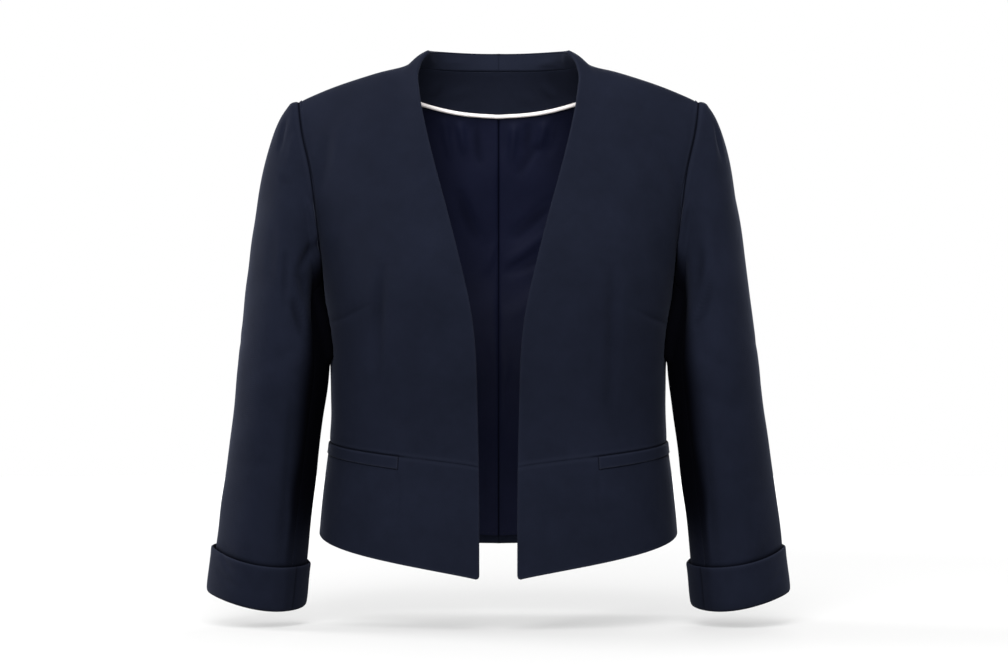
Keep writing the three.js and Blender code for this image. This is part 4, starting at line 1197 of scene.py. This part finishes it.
liningPiece = {
    "step": 2.7,
    "gap": 1.3,
    "wall": 0.8,
    "drop": 1.2,
    "sideShare": 0.975,
    # share, height at the centre back, height at the side
    "rows": [(0, -22.7, -13.5), (0.1, -55, -52), (0.25, -116, -118), (0.48, -212, -212), (0.75, -334, -322),
             (1, -451.5, -433)],
    "foldsLeft": [(((62, -104), (40, -122), (8, -150)), 8, -1.7),
                  (((58, -132), (36, -150), (6, -172)), 7, 1.5),
                  (((52, -158), (34, -170), (4, -182)), 7, -1.5),
                  (((44, -52), (30, -62), (20, -84)), 6, -1.4), (((16, -26), (15, -44), (12, -70)), 5, 2.0),
                  (((30, -26), (30, -42), (26, -60)), 5, -1.6), (((46, -24), (45, -38), (40, -56)), 5, 1.8),
                  (((60, -20), (58, -38), (50, -62)), 5, -1.6),
                  (((40, -196), (28, -214), (6, -230)), 9, 0.8),
                  (((24, -250), (16, -300), (18, -360)), 9, -1.4),
                  (((80, -120), (70, -180), (72, -260)), 12, -2.2),
                  (((120, -140), (112, -220), (116, -320)), 12, 2.0),
                  (((96, -300), (88, -350), (90, -410)), 10, -1.6),
                  (((14, -330), (12, -380), (14, -430)), 6, 0.9)],
    "foldsRight": [(((14, -184), (9, -166), (2, -148)), 6, 1.1),
                   (((42, -92), (34, -120), (20, -150)), 8, -1.8),
                   (((60, -128), (50, -160), (36, -196)), 8, 1.8),
                   (((22, -26), (22, -46), (18, -72)), 5, -1.6),
                   (((40, -24), (38, -40), (34, -60)), 5, 2.0), (((56, -20), (54, -40), (48, -66)), 5, 1.8),
                   (((20, -240), (14, -290), (16, -350)), 9, -1.2),
                   (((84, -110), (76, -180), (74, -250)), 12, 2.2),
                   (((124, -150), (114, -230), (112, -330)), 12, -2.0),
                   (((98, -290), (92, -350), (94, -410)), 10, 1.6),
                   (((12, -340), (14, -390), (12, -430)), 6, -0.8)],
}


def liningLine(across):
    inside = facingHeight(across) - liningPiece["drop"]
    return np.where(across < facingPiece["neckEnd"], inside, ridgeHeight(across) - liningPiece["drop"])


liningPanel = panelOf("back", liningPiece["rows"], lambda height: 0 * height, liningLine, 1)


def liningPoint(u, v):
    return panelPoint(liningPanel, u * liningPiece["sideShare"], v)


liningShares = stations(lambda u: liningPoint(u, 0 * u + 0.4), [(0, False, True), (1, True, False)],
                        liningPiece["step"])
liningDown = stations(lambda v: liningPoint(0 * v + 0.3, v), [(0, False, False), (1, True, False)],
                      liningPiece["step"])
for side in (1, -1):
    word = "left" if side > 0 else "right"
    lining = gridOf(liningPoint, liningShares, liningDown)
    x, z = lining["p"][..., 0], lining["p"][..., 2]
    loose = np.clip(lining["top"] / 12, 0, 1) * np.clip(lining["right"] / 12, 0, 1)
    creases = foldField(x, z, liningPiece["folds" + word.capitalize()]) * loose
    creaseShade(lining, -creases, 0.4)
    lining["out"] += creases
    lining["out"] += cloudField(x, z, 1.1, 51 if side > 0 else 52) * loose
    lining["out"] = np.minimum(lining["out"], 0.9) * np.clip(lining["left"] / 6, 0, 1)
    insideCloth(lining, backPiece["wall"] + liningPiece["gap"], liningPiece["wall"])
    lining["in"] += 1.1 * near(lining["left"], 1.3) + 0.5 * near(lining["left"], 4)
    lining["out"] += 0.9 * near(lining["left"], 1.3)
    # A lighter line of colour beside the centre back seam.
    lining["wear"] += near(lining["left"] - 2, 1.2) * 0.3
    seamShade(lining, lining["left"], 1.2)
    deep = 0.5 * np.clip((-120 - z) / 170, 0, 1) * (1 - 0.9 * np.clip((-290 - z) / 110, 0, 1))
    lining["shade"] = np.maximum(lining["shade"], np.maximum(deep, 0.4 * np.clip((x - 30) / 50, 0, 1)))
    piece = clothShell(f"back_lining_{word}_satin", [lining], side, bodyCentre, liningCloth, flatMiddle=True)
    declare(piece, [f"back_lining_{word}"])
print("lining made")

# The piping along the neck facing

pipingPiece = {"radius": 2.05, "wall": 0.4, "opening": 12, "depth": 5.2, "end": 0.86, "step": 1.6,
               "sides": 18}


# A closed section, in distances across and up, swept along a line and closed at both ends.
def sweptPiece(name, centre, section, finish):
    along = unit(np.gradient(centre, axis=0))
    across = unit(np.cross(along, np.array([0, 0, 1.0])))
    rise = np.cross(across, along)
    count, half = len(section), len(section) // 2
    ring = centre[:, None] + across[:, None] * section[None, :, :1] + rise[:, None] * section[None, :, 1:]
    number = np.arange(len(centre) * count).reshape(-1, count)
    turned = np.roll(number, -1, axis=1)
    quads = np.stack([number[:-1], turned[:-1], turned[1:], number[1:]], axis=-1).reshape(-1, 4)
    first = np.array([(k, count - 1 - k, count - 2 - k, k + 1) for k in range(half - 1)])
    quads = np.concatenate([quads, first, first[:, ::-1] + number[-1, 0]])
    vertices = ring.reshape(-1, 3)
    volume = (faceNormals(vertices, quads) * (vertices[quads].mean(axis=1) - centre[0])).sum()
    if volume < 0:
        quads = quads[:, ::-1]
    arc = np.concatenate([[0], np.cumsum(np.linalg.norm(np.diff(centre, axis=0), axis=1))])
    girth = np.concatenate([[0], np.cumsum(np.linalg.norm(np.diff(section, axis=0), axis=1))])
    flat = np.stack(np.broadcast_arrays(arc[:, None], girth[None, :]), axis=-1).reshape(-1, 2)
    return meshPiece(name, vertices, quads, finish, flat)


def besideCloth(place, u, v, off, centre=None):
    small = 0.002
    middle = place(u, v)
    across = place(u + small, v) - place(u - small, v)
    down = place(u, v + small) - place(u, v - small)
    normal = unit(np.cross(across, down))
    outwards = ((middle - (centre or bodyCentre)(middle)) * normal).sum(axis=-1)
    return middle + normal * (np.sign(outwards) * off)[..., None]


def pipingLine():
    u = np.linspace(0, pipingPiece["end"], 80)
    half = besideCloth(neckFacingPoint, np.maximum(u, 0.003), np.full(u.shape, 0.996), -pipingPiece["depth"])
    half[0, 0] = 0
    return np.concatenate([half[:0:-1] * mirrorBack, half])


def rolledSection(radius, wall, opening, sides):
    turn = np.radians(np.linspace(180 + opening, 540 - opening, sides))
    circle = np.stack([np.cos(turn), np.sin(turn)], axis=-1)
    return np.concatenate([circle * radius, circle[::-1] * (radius - wall)])


pipingSection = rolledSection(pipingPiece["radius"], pipingPiece["wall"], pipingPiece["opening"],
                              pipingPiece["sides"])
piping = sweptPiece("neck_piping_satin", pipingLine(), pipingSection, pipingCloth)
declare(piping, ["neck_piping"])
print("piping made")

# Stitches: a row of short thread ends along each line, by one node group

stitchLook = {"spacing": 2.6, "length": 1.9, "thread": 0.34, "uneven": 0.14, "seed": 7}


def stitchGroup(finish):
    tree = bpy.data.node_groups.new("stitch_row", "GeometryNodeTree")
    sockets = {}
    for title, kind in (("Line", "NodeSocketGeometry"), ("Spacing", "NodeSocketFloat"),
                        ("Length", "NodeSocketFloat"),
                        ("Thread", "NodeSocketFloat"), ("Uneven", "NodeSocketFloat"),
                        ("Seed", "NodeSocketInt")):
        sockets[title] = tree.interface.new_socket(title, in_out="INPUT", socket_type=kind).identifier
    tree.interface.new_socket("Stitches", in_out="OUTPUT", socket_type="NodeSocketGeometry")

    def make(kind, inputs=(), **settings):
        node = tree.nodes.new(kind)
        for key, value in settings.items():
            setattr(node, key, value)
        for key, value in dict(inputs).items():
            if isinstance(value, bpy.types.NodeSocket):
                tree.links.new(value, node.inputs[key])
            else:
                node.inputs[key].default_value = value
        return node

    given = make("NodeGroupInput").outputs
    line = make("GeometryNodeMeshToCurve", {"Mesh": given["Line"]})
    row = make("GeometryNodeCurveToPoints", {"Curve": line.outputs[0], "Length": given["Spacing"]},
               mode="LENGTH")
    turned = make("FunctionNodeAlignRotationToVector", {"Vector": row.outputs["Tangent"]}, axis="X")
    drop = make("ShaderNodeMath", {0: 1.0, 1: given["Uneven"]}, operation="SUBTRACT")
    size = make("FunctionNodeRandomValue", {2: drop.outputs[0], 3: 1.0, "Seed": given["Seed"]},
                data_type="FLOAT")
    half = make("ShaderNodeMath", {0: given["Length"], 1: 0.5}, operation="MULTIPLY")
    shape = make("ShaderNodeCombineXYZ", {0: half.outputs[0], 1: given["Thread"], 2: given["Thread"]})
    scaled = make("ShaderNodeVectorMath", {0: shape.outputs[0], "Scale": size.outputs[1]}, operation="SCALE")
    thread = make("GeometryNodeMeshUVSphere", {"Segments": 8, "Rings": 6, "Radius": 1.0})
    placed = make("GeometryNodeInstanceOnPoints", {
        "Points": row.outputs["Points"], "Instance": thread.outputs["Mesh"],
        "Rotation": turned.outputs[0], "Scale": scaled.outputs[0]})
    real = make("GeometryNodeRealizeInstances", {0: placed.outputs[0]})
    smooth = make("GeometryNodeSetShadeSmooth", {0: real.outputs[0]})
    finished = make("GeometryNodeSetMaterial", {"Geometry": smooth.outputs[0], "Material": finish})
    make("NodeGroupOutput", {0: finished.outputs[0]})
    return tree, sockets


def stitchRows(name, lines, group, look):
    tree, sockets = group
    vertices, edges = [], []
    for line in lines:
        start = len(vertices)
        vertices += (line * millimetre).tolist()
        edges += [(start + k, start + k + 1) for k in range(len(line) - 1)]
    mesh = bpy.data.meshes.new(name + "_lines")
    mesh.from_pydata(vertices, edges, [])
    guide = bpy.data.objects.new(name + "_lines", mesh)
    bpy.context.scene.collection.objects.link(guide)
    rows = guide.modifiers.new("stitches", "NODES")
    rows.node_group = tree
    rows[sockets["Spacing"]] = look["spacing"] * millimetre
    rows[sockets["Length"]] = look["length"] * millimetre
    rows[sockets["Thread"]] = look["thread"] * millimetre / 2
    rows[sockets["Uneven"]] = look["uneven"]
    rows[sockets["Seed"]] = look["seed"]
    made = bpy.data.meshes.new_from_object(guide.evaluated_get(bpy.context.evaluated_depsgraph_get()))
    bpy.data.objects.remove(guide)
    piece = bpy.data.objects.new(name, made)
    bpy.context.scene.collection.objects.link(piece)
    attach(piece, "root")


def bothWays(line):
    return [line, line * mirrorBack]


navyStitches = stitchGroup(navyThread)
ditch = besideCloth(neckFacingPoint, np.linspace(0.004, 0.8, 90), np.full(90, 0.93),
                    -(frontPiece["wall"] + facingPiece["neckGap"] + facingPiece["wall"] + 0.12))
stitchRows("neck_facing_stitches", bothWays(ditch), navyStitches, stitchLook)
weltEnd = besideCloth(bandPoint, np.full(10, weltShare) + 0.004,
                      np.linspace(0.012, weltPiece["share"] - 0.008, 10), 1.2)
weltLow = besideCloth(bandPoint, np.linspace(weltShare + 0.01, 0.985, 60),
                      np.full(60, weltPiece["share"] - 0.012), 1.15)
stitchRows("welt_stitches", bothWays(weltEnd) + bothWays(weltLow), navyStitches,
           {**stitchLook, "spacing": 2.2, "length": 1.6, "thread": 0.3})
liningEdge = besideCloth(liningPoint, np.linspace(0.02, 0.98, 90), np.full(90, 0.994),
                         -(backPiece["wall"] + liningPiece["gap"] + liningPiece["wall"] + 0.1))
stitchRows("lining_hem_stitches", bothWays(liningEdge), navyStitches,
           {**stitchLook, "spacing": 5.0, "length": 2.2})
print("stitches made")

# Stage, lights and camera

stageLook = {"floor": -0.532, "reach": 3.4, "colour": (0.23, 0.23, 0.2293), "glow": 0.44, "edgeGlow": 1.0,
             "back": 1.0, "front": 0.72, "below": 1.0}


def makeStage():
    turn = np.linspace(0, 2 * math.pi, 96, endpoint=False)
    reach, floorHeight = stageLook["reach"], stageLook["floor"]
    vertices = [(reach * math.cos(a), reach * math.sin(a), floorHeight) for a in turn]
    mesh = bpy.data.meshes.new("studio_floor")
    mesh.from_pydata(vertices, [], [tuple(range(len(vertices)))])
    material = bpy.data.materials.new("studio_white")
    material.use_nodes = True
    material.node_tree.nodes.clear()
    make = nodeMaker(material)
    place = make("ShaderNodeTexCoord").outputs["Object"]
    apart = make("ShaderNodeVectorMath", {0: place}, operation="LENGTH").outputs["Value"]
    # Painted light: the floor glows by itself, weakest near the middle and full at its rim, so that it fades
    # into the white world and the shadows on it stay light.
    glow = make("ShaderNodeMapRange", {
        "Value": apart, "From Min": 1.1, "From Max": reach - 0.5,
        "To Min": stageLook["glow"], "To Max": stageLook["edgeGlow"]}, interpolation_type="SMOOTHSTEP")
    shader = make("ShaderNodeBsdfPrincipled", {
        "Base Color": stageLook["colour"] + (1,), "Roughness": 0.9, "Specular IOR Level": 0.1,
        "Emission Color": (1, 1, 1, 1), "Emission Strength": glow.outputs[0]})
    make("ShaderNodeOutputMaterial", {"Surface": shader.outputs[0]})
    mesh.materials.append(material)
    floor = bpy.data.objects.new("studio_floor", mesh)
    bpy.context.scene.collection.objects.link(floor)


# White all round and behind, and dimmer on the camera's side.
def makeWorld():
    world = bpy.data.worlds.new("studio")
    world.use_nodes = True
    world.node_tree.nodes.clear()
    make = nodeMaker(world)
    way = make("ShaderNodeSeparateXYZ", {0: make("ShaderNodeTexCoord").outputs["Generated"]})
    deep = make("ShaderNodeMapRange", {
        "Value": way.outputs["Y"], "From Min": -0.75, "From Max": 0.45,
        "To Min": stageLook["front"], "To Max": stageLook["back"]}, interpolation_type="SMOOTHSTEP")
    low = make("ShaderNodeMapRange", {"Value": way.outputs["Z"], "From Min": 0.0, "From Max": -0.12})
    level = make("ShaderNodeMix", {0: low.outputs[0], 2: deep.outputs[0], 3: stageLook["below"]}).outputs[0]
    light = make("ShaderNodeBackground", {"Color": (1, 1, 1, 1), "Strength": level})
    make("ShaderNodeOutputWorld", {"Surface": light.outputs[0]})
    bpy.context.scene.world = world


def areaLight(name, place, aim, size, power, colour=(1, 1, 1)):
    data = bpy.data.lights.new(name, "AREA")
    data.shape, data.size, data.size_y = "RECTANGLE", size[0], size[1]
    data.energy, data.color = power, colour
    light = bpy.data.objects.new(name, data)
    light.location = place
    light.rotation_euler = (Vector(aim) - Vector(place)).to_track_quat("-Z", "Y").to_euler()
    bpy.context.scene.collection.objects.link(light)


makeStage()
lightSet = {
    "front": ((-0.5, -3.3, 1.5), (0, 0, -0.2), (1.9, 1.5), 125),
    "back": ((0.9, 3.2, 1.3), (0, 0, -0.2), (1.8, 1.4), 60),
    "right": ((2.6, 0.6, 1.2), (0, 0, -0.2), (1.2, 1.6), 7),
    "left": ((-2.5, 0.9, 0.8), (0, 0, -0.25), (1.1, 2.0), 92),
    "top": ((0.0, -1.7, 2.0), (0, 0, -0.15), (1.6, 1.2), 72),
}
for name, (place, aim, size, power) in lightSet.items():
    areaLight(f"softbox_{name}", place, aim, size, power)

makeWorld()
bpy.context.scene.view_settings.view_transform = "Standard"

cameraData = bpy.data.cameras.new("photo_camera")
cameraData.lens = 114.3
cameraData.sensor_width = 36.0
camera = bpy.data.objects.new("photo_camera", cameraData)
camera.location = (0.0055, -3.2, -0.246)
camera.rotation_euler = (math.pi / 2, 0, 0)
bpy.context.scene.collection.objects.link(camera)
bpy.context.scene.camera = camera
print("stage, lights and camera made")
